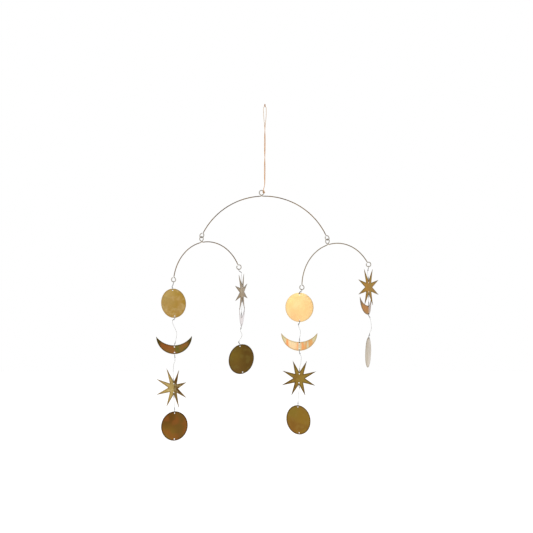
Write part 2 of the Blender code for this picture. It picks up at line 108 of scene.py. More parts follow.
def feed(node: bpy.types.Node, inputs: dict[str | int, Any]) -> None:
    """Link a node's inputs to output sockets, or set their values."""
    for key, value in inputs.items():
        if isinstance(value, bpy.types.NodeSocket):
            node.id_data.links.new(value, node.inputs[key])
        else:
            node.inputs[key].default_value = value


def add_node(
    tree: bpy.types.NodeTree,
    kind: str,
    inputs: dict[str | int, Any] | None = None,
    output: str | int = 0,
    **settings: Any,
) -> bpy.types.NodeSocket | None:
    """Add one node to a shader or geometry tree, with its settings and its links.

    Args:
        tree: The tree that the node goes into.
        kind: The node's type name.
        inputs: By socket name or number, the output socket to link or the value to set.
        output: The name or number of the output to go on with.
        **settings: The node's own properties.

    Returns:
        The socket of that output, or None where the node has no outputs.
    """
    node = tree.nodes.new(kind)
    for key, value in settings.items():
        setattr(node, key, value)
    feed(node, inputs or {})
    return node.outputs[output] if node.outputs else None


def begin_material(name: str) -> tuple[bpy.types.Material, Callable[..., Any], bpy.types.Node]:
    """Start a material.

    Args:
        name: Its name.

    Returns:
        The material, the function that adds a node to its tree, and its shader.
    """
    made = bpy.data.materials.new(name)
    made.use_nodes = True
    return made, partial(add_node, made.node_tree), made.node_tree.nodes["Principled BSDF"]


def layered(add: Callable[..., Any], face: str, layers: Iterable[Layer]) -> bpy.types.NodeSocket:
    """Lay tints over a colour, each where its measure runs from one value to another.

    Args:
        add: The function that adds a node to the material's tree.
        face: The sRGB hex colour under the tints.
        layers: For each tint its sRGB hex colour, the socket that it is measured by, the span of values
            over which it sets in, and its shares at the two ends of that span.

    Returns:
        The socket with the finished colour.
    """
    colour: Any = linear(face)
    for tint, measure, (start, end), (first, last) in layers:
        share = add(
            "ShaderNodeMapRange",
            {"Value": measure, "From Min": start, "From Max": end, "To Min": first, "To Max": last},
            interpolation_type="SMOOTHSTEP",
        )
        mixed = {"Factor": share, 6: colour, 7: linear(tint)}
        colour = add("ShaderNodeMix", mixed, output=2, data_type="RGBA")
    return colour


def steps_between(first: float, last: float, step: float) -> list[float]:
    """Spread values evenly from first to last, no further apart than step."""
    count = max(1, math.ceil(abs(last - first) / step - HAIR))
    return [first + (last - first) * i / count for i in range(count + 1)]


def between(start: Vector, end: Vector, angle: float) -> Vector:
    """Turn a direction by an angle towards one that is square to it."""
    return math.cos(angle) * start + math.sin(angle) * end


def smooth_route(points: Sequence[Vector], step: float) -> list[Vector]:
    """Run one smooth curve through a route's own points.

    Args:
        points: The route's points, at least two.
        step: About how far apart the curve's points are.

    Returns:
        The curve's points, among them the route's own.
    """
    ends = [2 * points[0] - points[1], *points, 2 * points[-1] - points[-2]]
    smooth = [points[0]]
    for before, start, end, after in zip(ends, ends[1:], ends[2:], ends[3:]):
        pieces = max(1, round((end - start).length / step))
        for i in range(1, pieces + 1):
            t = i / pieces
            spot = 2 * start + (end - before) * t
            spot += (2 * before - 5 * start + 4 * end - after) * t**2
            spot += (3 * start - before - 3 * end + after) * t**3
            smooth.append(spot / 2)
    return smooth


def length_of(points: Sequence[Vector]) -> float:
    """Measure a route from end to end."""
    return sum((b - a).length for a, b in zip(points, points[1:]))


def stretch_of(points: Sequence[Vector], first: float, last: float) -> list[Vector]:
    """Cut the stretch of a route that lies between two distances along it.

    Args:
        points: The route.
        first: Where the stretch starts, in metres along the route.
        last: Where it ends.

    Returns:
        The stretch's points, with new ones at its two ends.
    """
    cut = []
    gone = 0.0
    for here, after in zip(points, points[1:]):
        long = (after - here).length
        for mark in (first, last):
            if gone <= mark < gone + long:
                cut.append((mark, here.lerp(after, (mark - gone) / long)))
        if first < gone < last:
            cut.append((gone, here.copy()))
        gone += long
    return [spot for _, spot in sorted(cut, key=lambda pair: pair[0])]


def middle_of(low: Vector, high: Vector) -> Vector:
    """Give the centre of a box."""
    return (Vector(low) + Vector(high)) / 2


def bounds_of(points: Iterable[Vector]) -> tuple[Vector, Vector]:
    """Give the lowest and highest corner of a cloud of points."""
    spots = np.array([tuple(p) for p in points])
    return Vector(spots.min(axis=0)), Vector(spots.max(axis=0))


# Finishes


@dataclass(frozen=True)
class BeatenBrass:
    """Brass sheet, rolled, beaten by hand, coloured with a flame and lacquered.

    The beating gives broad soft pools of light, and the flame gives orange, olive and brown clouds under the
    lacquer, with paler clouds that are partly flame colour and partly a painted sheen. The right half has a
    tone of its own, partly flame colour and partly painted shade where a crease turns it from the light, and
    a band of painted shade darkens the cut rim, for its rounded edge turning from the light.
    """

    name: str
    face: str
    cloud: str
    # The bloom colour makes paler clouds: partly flame colour and partly a painted sheen.
    bloom_and_sheen: str
    # The rim colour is painted shade: a darker band along the cut edge, standing for the rounded edge
    # turning from the light.
    rim_shade: str
    # The right half's colour is partly flame colour and partly painted shade, where a crease turns that half
    # from the light.
    right: str
    foot: str
    tip: str
    seed: float
    turnover: float = 0.012
    foot_span: Span = (0.016, -0.020)
    cloud_span: Span = (0.42, 0.66)
    bloom_and_sheen_span: Span = (0.48, 0.72)
    tip_span: Span = (0.024, 0.034)
    rim_shade_width: float = 0.0032
    rim_shade_share: float = 0.9
    clouds: float = 0.7
    bloom_and_sheen_share: float = 0.5
    cloud_size: float = 0.018
    bloom_and_sheen_size: float = 0.009
    cloud_detail: float = 1.5
    cloud_roughness: float = 0.4
    streaks: float = 1.0
    roughness: float = 0.33
    gloss_change: float = 0.05
    brush_scale: float = 130.0
    brush_stretch: float = 5.0
    brush_span: Span = (0.3, 0.7)
    planish_size: float = 0.0075
    planish_depth: float = 0.0006
    planish_strength: float = 0.3

    def build(self) -> bpy.types.Material:
        """Make the material.

        Returns:
            A metallic material that reads where on its sheet a point lies: across, above and rim_distance.
        """
        made, add, shader = begin_material("beaten_brass_" + self.name)
        across, above, inset = (
            add("ShaderNodeAttribute", output="Fac", attribute_name=name)
            for name in ("across", "above", "rim_distance")
        )
        spot = add("ShaderNodeCombineXYZ", {"X": across, "Y": above, "Z": self.seed})
        drawn = add("ShaderNodeMapping", {"Vector": spot, "Scale": (1.0, 1 / self.streaks, 1.0)})
        grown = {"Vector": drawn, "Detail": self.cloud_detail, "Roughness": self.cloud_roughness}
        cloud, bloom_and_sheen = (
            add("ShaderNodeTexNoise", {**grown, "Scale": 1 / size})
            for size in (self.cloud_size, self.bloom_and_sheen_size)
        )
        flat = add("ShaderNodeCombineXYZ", {"X": across, "Y": above})
        reach = add("ShaderNodeVectorMath", {0: flat}, output="Value", operation="LENGTH")
        layers = (
            (self.foot, above, self.foot_span, GROWING),
            # The right half's tone: partly flame colour, partly painted shade for a creased half turned from
            # the light
            (self.right, across, (-self.turnover, self.turnover), GROWING),
            (self.cloud, cloud, self.cloud_span, (0.0, self.clouds)),
            # Paler clouds: partly flame colour, partly painted sheen
            (self.bloom_and_sheen, bloom_and_sheen, self.bloom_and_sheen_span, (0.0, self.bloom_and_sheen_share)),
            (self.tip, reach, self.tip_span, GROWING),
            # Painted shade along the rim, darkest at the cut edge
            (self.rim_shade, inset, (0.0, self.rim_shade_width), (self.rim_shade_share, 0.0)),
        )
        # Brushing marks are finer than 0.1 mm: drawn 1.5 mm apart, and only in the gloss, so that they show
        combed = add("ShaderNodeMapping", {"Vector": spot, "Scale": (1.0, self.brush_stretch, 1.0)})
        brushed = add("ShaderNodeTexNoise", {"Vector": combed, "Scale": self.brush_scale})
        gloss = {
            "Value": brushed,
            "From Min": self.brush_span[0],
            "From Max": self.brush_span[1],
            "To Min": self.roughness - self.gloss_change,
            "To Max": self.roughness + self.gloss_change,
        }
        beaten = {"Vector": spot, "Scale": 1 / self.planish_size, "Smoothness": 1.0}
        planished = {
            "Height": add("ShaderNodeTexVoronoi", beaten, output="Distance", feature="SMOOTH_F1"),
            "Strength": self.planish_strength,
            "Distance": self.planish_depth,
        }
        looks = {
            "Base Color": layered(add, self.face, layers),
            "Roughness": add("ShaderNodeMapRange", gloss),
            "Normal": add("ShaderNodeBump", planished),
            "Metallic": 1.0,
        }
        feed(shader, looks)
        return made


class Patina(Enum):
    """The charms' flame colours, with painted shade and sheen, each of them one finish of beaten brass."""

    HONEY = BeatenBrass(
        "honey", "c0a463", "bc9755", "cfb881", "9d7f46", "b08c3d", "bc9750", "b89559", 0.31,
        turnover=0.018,
    )
    CHESTNUT = BeatenBrass(
        "chestnut", "8e4f24", "92592c", "6f632c", "4a3e1a", "6a5e2a", "716130", "4e421c", 0.72,
        turnover=0.004,
    )
    # Its dark right half is painted shade, for the creased half turned from the light
    SPLIT_GOLD = BeatenBrass(
        "split_gold", "bea66a", "b59b57", "d2c190", "806434", "5d3b07", "b39b5d", "a68d55", 1.27,
        turnover=0.0006, clouds=0.4,
    )
    RUSSET = BeatenBrass(
        "russet", "65431b", "8b5024", "694e24", "3c270d", "6d4f22", "7e5f25", "563e17", 1.93,
        turnover=0.010, clouds=0.6, bloom_and_sheen_share=0.3,
    )
    STEEL = BeatenBrass("steel", "ac9b7f", "99815b", "c0b5a0", "78664a", "8f7756", "b4ab9b", "624d2f", 2.41)
    LILAC = BeatenBrass("lilac", "e4dcde", "dcd2ce", "f0eaec", "b0a8a8", "e8e0e2", "d8ccc8", "a89c94", 2.93)
    UMBER = BeatenBrass(
        "umber", "715a22", "634c1f", "766933", "423013", "5d451c", "664c22", "57411c", 3.17,
        clouds=0.5, bloom_and_sheen_share=0.25,
    )
    CREAM = BeatenBrass(
        "cream", "f6d08d", "f6d296", "f6c684", "ceb583", "f6cc8c", "f9c185", "ebb77b", 3.74,
        cloud_size=0.026,
    )
    PEACH = BeatenBrass(
        "peach", "f2d8a9", "f69958", "cacdad", "b19767", "d9a265", "f2c393", "cfc79c", 4.21,
        streaks=6.0, cloud_size=0.009, bloom_and_sheen_size=0.0055, bloom_and_sheen_share=0.8, clouds=0.9,
    )
    OLIVE = BeatenBrass("olive", "886e2e", "775728", "9b813f", "59431b", "8e7433", "866630", "755d2e", 4.67)
    BRONZE = BeatenBrass(
        "bronze", "8b712d", "855e27", "967637", "4c3214", "92702b", "92682b", "775523", 5.23,
        turnover=0.009,
    )
    COPPER = BeatenBrass(
        "copper", "ac8037", "b6883c", "979044", "785e27", "a57b40", "a57d3a", "907d56", 5.71
    )
    TWO_TONE = BeatenBrass(
        "two_tone", "be7f3c", "b88740", "9d733c", "715d3e", "a69288", "a77d49", "846846", 6.29,
        turnover=0.0006, clouds=0.5, bloom_and_sheen_share=0.4,
    )
    PALE = BeatenBrass("pale", "b5a489", "b3a48c", "cec6ba", "8f7e65", "c8baa9", "beae93", "afa085", 6.83)


@dataclass(frozen=True)
class DrawnBrass:
    """Brass wire, drawn through a die, bent cold and left to dull.

    The dull skin gives a dark grey-brown line with a soft highlight along it. The eyes and loops are bent
    round a mandrel, which leaves them paler, and round the foot of each loop is a painted yellow glint.
    """

    name: str
    dull: str = "675744"
    warm: str = "786038"
    bent: str = "a49e94"
    # This colour is a painted yellow glint round each loop's foot.
    foot_glint: str = "c09a44"
    warm_span: Span = (0.4, 0.65)
    bent_span: Span = (0.0052, 0.0085)
    foot_glint_reach: float = 0.0034
    tint_share: float = 0.9
    patch_size: float = 0.025
    roughness: float = 0.32
    die_scale: float = 2200.0
    die_depth: float = 0.0001
    die_strength: float = 0.1

    def build(self) -> bpy.types.Material:
        """Make the material.

        Returns:
            A metallic material that reads the wire's own ring_distance and foot_distance.
        """
        made, add, shader = begin_material(self.name)
        place = add("ShaderNodeTexCoord", output="Object")
        skin = add("ShaderNodeTexNoise", {"Vector": place, "Scale": 1 / self.patch_size, "Detail": 1.0})
        ring, foot = (
            add("ShaderNodeAttribute", output="Fac", attribute_name=name)
            for name in ("ring_distance", "foot_distance")
        )
        layers = (
            (self.warm, skin, self.warm_span, GROWING),
            (self.bent, ring, self.bent_span, (self.tint_share, 0.0)),
            # A painted yellow glint round the loop's foot
            (self.foot_glint, foot, (0.0, self.foot_glint_reach), (self.tint_share, 0.0)),
        )
        # Die marks are finer than 0.05 mm: drawn ten times as coarse, so that they break up the highlight
        marks = {
            "Height": add("ShaderNodeTexNoise", {"Vector": place, "Scale": self.die_scale, "Detail": 1.0}),
            "Strength": self.die_strength,
            "Distance": self.die_depth,
        }
        looks = {
            "Base Color": layered(add, self.dull, layers),
            "Roughness": self.roughness,
            "Normal": add("ShaderNodeBump", marks),
            "Metallic": 1.0,
        }
        feed(shader, looks)
        return made


@dataclass(frozen=True)
class CottonTwine:
    """Brown cotton twine, plies laid up by machine.

    It is matt, with lighter and darker yarn along the plies. Handling has bleached it towards the top,
    and the knot is a darker brown.
    """

    name: str
    lower: str
    upper: str
    shade: str
    upper_span: Span = (-0.055, -0.020)
    shade_span: Span = (0.38, 0.66)
    shade_share: float = 0.8
    yarn_size: float = 0.0006
    yarn_squash: float = 0.25
    yarn_depth: float = 0.0002
    yarn_strength: float = 0.5
    roughness: float = 0.92

    def build(self) -> bpy.types.Material:
        """Make the material.

        Returns:
            A rough material that reads Object coordinates.
        """
        made, add, shader = begin_material(self.name)
        place = add("ShaderNodeTexCoord", output="Object")
        height = add("ShaderNodeSeparateXYZ", {0: place}, output="Z")
        drawn = add("ShaderNodeMapping", {"Vector": place, "Scale": (1.0, 1.0, self.yarn_squash)})
        yarn = add("ShaderNodeTexNoise", {"Vector": drawn, "Scale": 1 / self.yarn_size, "Detail": 3.0})
        layers = (
            (self.upper, height, self.upper_span, GROWING),
            (self.shade, yarn, self.shade_span, (0.0, self.shade_share)),
        )
        raised = {"Height": yarn, "Strength": self.yarn_strength, "Distance": self.yarn_depth}
        looks = {
            "Base Color": layered(add, self.lower, layers),
            "Roughness": self.roughness,
            "Normal": add("ShaderNodeBump", raised),
        }
        feed(shader, looks)
        return made


@dataclass(frozen=True)
class ClearNylon:
    """Clear nylon thread, drawn and glossy.

    Light bends round it, so that it shows as a thin grey line on white, darker where it is knotted, and
    takes the colour of the brass where it lies on a charm.
    """

    name: str = "clear_nylon_thread"
    tint: str = "a29d96"
    haze: str = "bab6b0"
    haze_span: Span = (0.3, 0.7)
    haze_size: float = 0.004
    roughness: float = 0.12
    see_through: float = 0.85
    index: float = 1.53

    def build(self) -> bpy.types.Material:
        """Make the material.

        Returns:
            A glossy see-through dielectric that reads Object coordinates.
        """
        made, add, shader = begin_material(self.name)
        place = add("ShaderNodeTexCoord", output="Object")
        # Real thread is clear all through: a haze in stretches of 4 mm stands for its dust and stretching
        cloud = add("ShaderNodeTexNoise", {"Vector": place, "Scale": 1 / self.haze_size, "Detail": 1.0})
        looks = {
            "Base Color": layered(add, self.tint, ((self.haze, cloud, self.haze_span, GROWING),)),
            "Roughness": self.roughness,
            "IOR": self.index,
            "Transmission Weight": self.see_through,
        }
        feed(shader, looks)
        return made


# Geometry Nodes


@dataclass(frozen=True)
class Spline:
    """A line for Sweep to follow, wound round itself or not."""

    points: Sequence[Vector]
    wound: bool = False
    radii: Sequence[float] | None = None


class Sweep:
    """A Geometry Nodes tree that sweeps a round section along the splines of a curve object.

    A spline whose points have a tilt of 1 is wound round its own line as a ply or a wrap, and one with a
    tilt of 0 is followed as it is. The points' radius scales the section.
    """

    INPUTS = {
        "Diameter": ("NodeSocketFloat", 0.001),
        "Sides": ("NodeSocketInt", 12),
        "Plies": ("NodeSocketInt", 1),
        "Winding Radius": ("NodeSocketFloat", 0.0003),
        "Lay Length": ("NodeSocketFloat", 0.003),
        "Step": ("NodeSocketFloat", 0.0003),
        "Material": ("NodeSocketMaterial", None),
    }

    def __init__(self) -> None:
        """Build the tree."""
        self.tree = bpy.data.node_groups.new("wound_sweep", "GeometryNodeTree")
        face = self.tree.interface
        face.new_socket("Geometry", in_out="INPUT", socket_type="NodeSocketGeometry")
        self.identifiers = {}
        for name, (kind, default) in self.INPUTS.items():
            socket = face.new_socket(name, in_out="INPUT", socket_type=kind)
            if default is not None:
                socket.default_value = default
            self.identifiers[name] = socket.identifier
        face.new_socket("Geometry", in_out="OUTPUT", socket_type="NodeSocketGeometry")
        self._wire()

    def _wire(self) -> None:
        """Add the nodes between the tree's input and its output."""
        add = partial(add_node, self.tree)
        given = add("NodeGroupInput").node.outputs
        tilt = add("GeometryNodeInputCurveTilt")
        wound = add("FunctionNodeCompare", {0: tilt, 1: 0.5}, operation="GREATER_THAN")
        stepped = {"Curve": given["Geometry"], "Selection": wound, "Length": given["Step"]}
        fine = add("GeometryNodeResampleCurve", stepped, mode="LENGTH")
        copies = {"Geometry": fine, "Amount": given["Plies"]}
        plies = add("GeometryNodeDuplicateElements", copies, domain="SPLINE").node.outputs
        held = add("GeometryNodeCaptureAttribute", {"Geometry": plies["Geometry"]}, domain="POINT").node
        kept = {
            "Ply": plies["Duplicate Index"],
            "Wound": tilt,
            "Along": add("GeometryNodeSplineParameter", output="Length"),
        }
        for name in kept:
            held.capture_items.new("FLOAT", name)
        feed(held, kept)
        untilted = add("GeometryNodeSetCurveTilt", {"Curve": held.outputs["Geometry"], "Tilt": 0.0})
        steady = add("GeometryNodeSetCurveNormal", {"Curve": untilted}, mode="MINIMUM_TWIST")
        laid = {0: held.outputs["Along"], 1: given["Lay Length"]}
        phase = {0: held.outputs["Ply"], 1: given["Plies"]}
        turns, start = (add("ShaderNodeMath", pair, operation="DIVIDE") for pair in (laid, phase))
        both = add("ShaderNodeMath", {0: turns, 1: start}, operation="ADD")
        turned = {
            "Vector": add("GeometryNodeInputNormal"),
            "Axis": add("GeometryNodeInputTangent"),
            "Angle": add("ShaderNodeMath", {0: both, 1: math.tau}, operation="MULTIPLY"),
        }
        outward = add("ShaderNodeVectorRotate", turned, rotation_type="AXIS_ANGLE")
        wide = {0: held.outputs["Wound"], 1: given["Winding Radius"]}
        reach = add("ShaderNodeMath", wide, operation="MULTIPLY")
        offset = add("ShaderNodeVectorMath", {0: outward, "Scale": reach}, operation="SCALE")
        placed = add("GeometryNodeSetPosition", {"Geometry": steady, "Offset": offset})
        half = add("ShaderNodeMath", {0: given["Diameter"], 1: 0.5}, operation="MULTIPLY")
        section = {"Resolution": given["Sides"], "Radius": half}
        tube = {
            "Curve": placed,
            "Profile Curve": add("GeometryNodeCurvePrimitiveCircle", section),
            "Scale": add("GeometryNodeInputRadius"),
            "Fill Caps": True,
        }
        swept = add("GeometryNodeCurveToMesh", tube)
        smooth = add("GeometryNodeSetShadeSmooth", {"Geometry": swept})
        real = add("GeometryNodeRealizeInstances", {"Geometry": smooth})
        finished = add("GeometryNodeSetMaterial", {"Geometry": real, "Material": given["Material"]})
        add("NodeGroupOutput", {"Geometry": finished})

    def run(
        self, name: str, splines: Sequence[Spline], finish: bpy.types.Material, **sizes: float
    ) -> bpy.types.Object:
        """Sweep the splines and keep the result as a plain mesh object.

        Args:
            name: The new piece's name.
            splines: The lines to follow.
            finish: The piece's material.
            **sizes: The tree's inputs, with underscores for the spaces in their names.

        Returns:
            The swept mesh object, at the origin.
        """
        data = bpy.data.curves.new(name + "_line", "CURVE")
        data.dimensions = "3D"
        for spline in splines:
            drawn = data.splines.new("POLY")
            drawn.points.add(len(spline.points) - 1)
            radii = spline.radii or [1.0] * len(spline.points)
            for slot, point, radius in zip(drawn.points, spline.points, radii):
                slot.co = (*point, 1)
                slot.radius = radius
                slot.tilt = 1.0 if spline.wound else 0.0
        line = put_in_scene(name + "_line", data)
        modifier = line.modifiers.new("sweep", "NODES")
        modifier.node_group = self.tree
        for key, value in {**sizes, "Material": finish}.items():
            modifier[self.identifiers[key.replace("_", " ")]] = value
        graph = bpy.context.evaluated_depsgraph_get()
        mesh = bpy.data.meshes.new_from_object(line.evaluated_get(graph))
        bpy.data.objects.remove(line)
        mesh.name = name
        return piece_of(name, mesh)


def put_in_scene(name: str, data: bpy.types.ID) -> bpy.types.Object:
    """Make an object of its data and link it into the scene."""
    made = bpy.data.objects.new(name, data)
    bpy.context.scene.collection.objects.link(made)
    return made


def piece_of(name: str, mesh: bpy.types.Mesh) -> bpy.types.Object:
    """Put a mesh into the scene as an object at the origin, with its doubles merged and faces outwards."""
    work = bmesh.new()
    work.from_mesh(mesh)
    bmesh.ops.remove_doubles(work, verts=work.verts, dist=SAME_POINT)
    bmesh.ops.recalc_face_normals(work, faces=work.faces)
    work.to_mesh(mesh)
    work.free()
    return put_in_scene(name, mesh)


def keep_numbers(mesh: bpy.types.Mesh, name: str, values: np.ndarray) -> None:
    """Keep a number for each vertex as a named attribute, in metres."""
    layer = mesh.attributes.new(name, "FLOAT", "POINT")
    layer.data.foreach_set("value", values.astype(np.float32))


def stand_for(piece: bpy.types.Object, node: str) -> None:
    """Let a piece ride on the mobile and take the place of one solid."""
    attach(piece, BODY)
    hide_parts(node)
    log.info("%s stands for %s: %d faces", piece.name, node, len(piece.data.polygons))


# Arms


@dataclass
class WireArm:
    """A bowed brass wire with an eye at each end and one turn of a loop near its middle.

    Angles are in degrees from the top of the arc, positive to the right.
    """

    node: str
    radius: float
    turn: float
    left_end: float
    loop_at: float
    right_end: float
    loop_turn: float
    left_eye_turn: float
    right_eye_turn: float
    wire: float = 0.0018
    sides: int = 16
    eye_radius: float = 0.0043
    loop_radius: float = 0.00435
    bend_radius: float = 0.0012
    foot_height: float = 0.0012
    loop_rise: float = math.radians(36)
    ring_step: float = math.radians(9)
    arc_step: float = 2.0
    tip_roundness: float = 0.0003
    # How far into a cut tip's rounding, and how thick the wire is there, as shares
    tip_profile: tuple[Span, ...] = ((0.0, 0.55), (0.4, 0.85), (1.0, 1.0))
    place: Vector = field(default_factory=Vector)

    def __post_init__(self) -> None:
        """Move the arm so that its box has the same centre as its solid's."""
        turned = [self.turned @ p for p in self.route()]
        self.place = middle_of(*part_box(self.node)) - middle_of(*bounds_of(turned))

    @property
    def turned(self) -> Matrix:
        """The arm's turn about the vertical."""
        return Matrix.Rotation(math.radians(self.turn), 3, "Z")

    @property
    def spacing(self) -> float:
        """How far apart the centres of two strands lie that touch."""
        return self.wire + GAP

    def in_place(self, point: Vector) -> Vector:
        """Turn a point of the arm's own frame into the mobile's."""
        return self.place + self.turned @ point

    def arc_point(self, degrees: float) -> Vector:
        """Give a point of the bow."""
        return self.radius * between(UP, RIGHT, math.radians(degrees))

    @staticmethod
    def level(turn: float, along: Vector) -> Vector:
        """Give the direction across along in the upright plane that faces turn about the vertical."""
        flat = between(RIGHT, AWAY, math.radians(turn))
        return (flat - flat.dot(along) * along).normalized()

    def eye_frame(self, right_side: bool) -> tuple[Vector, Vector, Vector]:
        """Give an eye's neck, the way out of it, and the way across it."""
        end = self.right_end if right_side else self.left_end
        sense = 1 if right_side else -1
        along = sense * between(RIGHT, -UP, math.radians(end))
        turn = self.right_eye_turn if right_side else self.left_eye_turn
        return self.arc_point(end), along, self.level(turn, along)

    def eye_centre(self, right_side: bool) -> Vector:
        """Give the centre of the eye's ring."""
        neck, along, _ = self.eye_frame(right_side)
        reach = self.eye_radius**2 + 2 * self.eye_radius * self.bend_radius
        return neck + along * math.sqrt(reach)

    def eye_route(self, right_side: bool) -> list[Vector]:
        """Follow the wire from the neck round the eye to its cut tip."""
        neck, along, side = self.eye_frame(right_side)
        centre = self.eye_centre(right_side)
        meet = math.atan2((centre - neck).length, self.bend_radius)
        tip = math.tau - 2 * math.asin(self.spacing / (2 * self.eye_radius))
        points = []
        for a in steps_between(0, meet, self.ring_step)[:-1]:
            bend = math.sin(a) * along + (1 - math.cos(a)) * side
            points.append(neck + self.bend_radius * bend)
        for a in steps_between(math.pi / 2 - meet, tip, self.ring_step):
            points.append(centre + self.eye_radius * between(-along, side, a))
        return points

    def loop_frame(self) -> tuple[Vector, Vector, Vector, Vector]:
        """Give the loop's foot on the bow, the way out, across it and through it."""
        foot = self.arc_point(self.loop_at)
        out = foot.normalized()
        across = self.level(self.loop_turn, out)
        return foot, out, across, out.cross(across)

    def loop_point(self, angle: float) -> Vector:
        """Give a point of the loop, whose one turn climbs by a strand's spacing so that it clears itself."""
        foot, out, across, through = self.loop_frame()
        height = self.foot_height + self.loop_radius / math.cos(self.loop_rise)
        ring = self.loop_radius * between(across, out, angle)
        climb = (angle - math.pi / 2) / (math.tau - 2 * self.loop_rise)
        return foot + height * out + ring + climb * self.spacing * through

    def loop_route(self) -> list[Vector]:
        """Follow the wire up from the bow, round the loop and back down."""
        foot, out, across, through = self.loop_frame()
        bend_reach = self.bend_radius * math.tan(self.loop_rise / 2)
        start = -self.foot_height / math.tan(self.loop_rise) - bend_reach
        rise = [
            (start + self.bend_radius * math.sin(a), self.bend_radius * (1 - math.cos(a)))
            for a in steps_between(0, self.loop_rise, self.ring_step)
        ]
        half = through * self.spacing / 2
        first = self.loop_rise - math.pi / 2
        points = [foot + x * across + y * out - half for x, y in rise]
        points += [self.loop_point(a) for a in steps_between(first, math.pi - first, self.ring_step)]
        points += [foot - x * across + y * out + half for x, y in reversed(rise)]
        return points

    def route(self) -> list[Vector]:
        """Follow the whole wire, tip to tip, in the arm's own frame."""
        foot_reach = self.foot_height / math.tan(self.loop_rise) + self.bend_radius
        foot_half = math.degrees(foot_reach / self.radius)
        left = steps_between(self.left_end, self.loop_at - foot_half, self.arc_step)
        right = steps_between(self.loop_at + foot_half, self.right_end, self.arc_step)
        return (
            self.eye_route(False)[:0:-1]
            + [self.arc_point(a) for a in left[:-1]]
            + self.loop_route()
            + [self.arc_point(a) for a in right[1:]]
            + self.eye_route(True)[1:]
        )

    def lowest_of_eye(self, right_side: bool) -> tuple[Vector, Vector]:
        """Find where a thread hangs in an eye.

        Args:
            right_side: Which of the arm's two eyes.

        Returns:
            The lowest point of the wire's own line, and the wire's level direction there.
        """
        _, along, side = self.eye_frame(right_side)
        down = -(UP.dot(along) * along + UP.dot(side) * side).normalized()
        level = along.cross(side).cross(down).normalized()
        spot = self.eye_centre(right_side) + self.eye_radius * down
        return self.in_place(spot), self.turned @ level

    def _with_tip(self, points: list[Vector]) -> list[Vector]:
        """Add two points close to a wire's first one, for the rounding of its tip."""
        way = (points[1] - points[0]).normalized()
        tip = [points[0] + way * self.tip_roundness * share for share, _ in self.tip_profile]
        return tip + points[1:]

    def build(self, sweep: Sweep, finish: bpy.types.Material) -> None:
        """Sweep the wire, with its two cut tips rounded off."""
        points = [self.in_place(p) for p in self.route()]
        points = self._with_tip(self._with_tip(points)[::-1])[::-1]
        tip = [radius for _, radius in self.tip_profile]
        radii = tip + [1.0] * (len(points) - 2 * len(tip)) + tip[::-1]
        spline = Spline(points, radii=radii)
        made = sweep.run(self.node + "_wire", [spline], finish, Diameter=self.wire, Sides=self.sides)
        foot, out, _, _ = self.loop_frame()
        crossing = foot + self.foot_height * out
        rings = (self.eye_centre(False), self.eye_centre(True), crossing + self.loop_radius * out)
        # foot_distance places the painted glint round the loop's foot
        for name, marks in (("foot_distance", (crossing,)), ("ring_distance", rings)):
            spots = [self.in_place(mark) for mark in marks]
            away = [min((vert.co - spot).length for spot in spots) for vert in made.data.vertices]
            keep_numbers(made.data, name, np.array(away))
        stand_for(made, self.node)


# Charms


class Shape(Enum):
    """What a charm is cut as."""

    DISC = "disc"
    CRESCENT = "crescent"
    STAR = "star"


def round_points(radius: float, drop: float, sides: int) -> list[Point2]:
    """Give the points of a circle whose centre is at drop below the origin, clockwise from its top."""
    angles = (math.tau * i / sides for i in range(sides))
    return [(radius * math.sin(a), radius * math.cos(a) - drop) for a in angles]


def bow(width: float, depth: float, steps: int) -> list[Point2]:
    """Give an arc that sags by depth between two level ends, from left to right."""
    radius = ((width / 2) ** 2 + depth**2) / (2 * depth)
    half = math.atan2(width / 2, radius - depth)
    angles = (half * (2 * i / steps - 1) for i in range(steps + 1))
    return [(radius * math.sin(a), radius * (1 - math.cos(a))) for a in angles]


def distance_to(loop: Sequence[Point2], spots: np.ndarray) -> np.ndarray:
    """Give each spot's distance to a closed outline."""
    start = np.array(loop)
    way = np.roll(start, -1, axis=0) - start
    away = spots[:, None, :] - start[None]
    share = np.clip((away * way).sum(-1) / (way**2).sum(-1), 0, 1)
    return np.linalg.norm(away - share[..., None] * way, axis=-1).min(axis=1)


def inside(loop: Sequence[Point2], spots: np.ndarray) -> np.ndarray:
    """Say for each spot whether it lies inside a closed outline."""
    start = np.array(loop)
    end = np.roll(start, -1, axis=0)
    x, y = spots[:, 0:1], spots[:, 1:2]
    spans = (start[:, 1] > y) != (end[:, 1] > y)
    rise = np.where(end[:, 1] == start[:, 1], 1.0, end[:, 1] - start[:, 1])
    crossing = start[:, 0] + (y - start[:, 1]) * (end[:, 0] - start[:, 0]) / rise
    return (spans & (x < crossing)).sum(axis=1) % 2 == 1


def on_sheet(loops: Sequence[Sequence[Point2]], spots: np.ndarray) -> np.ndarray:
    """Say for each spot whether it lies in the first outline and in none of the others."""
    keep = inside(loops[0], spots)
    for loop in loops[1:]:
        keep &= ~inside(loop, spots)
    return keep


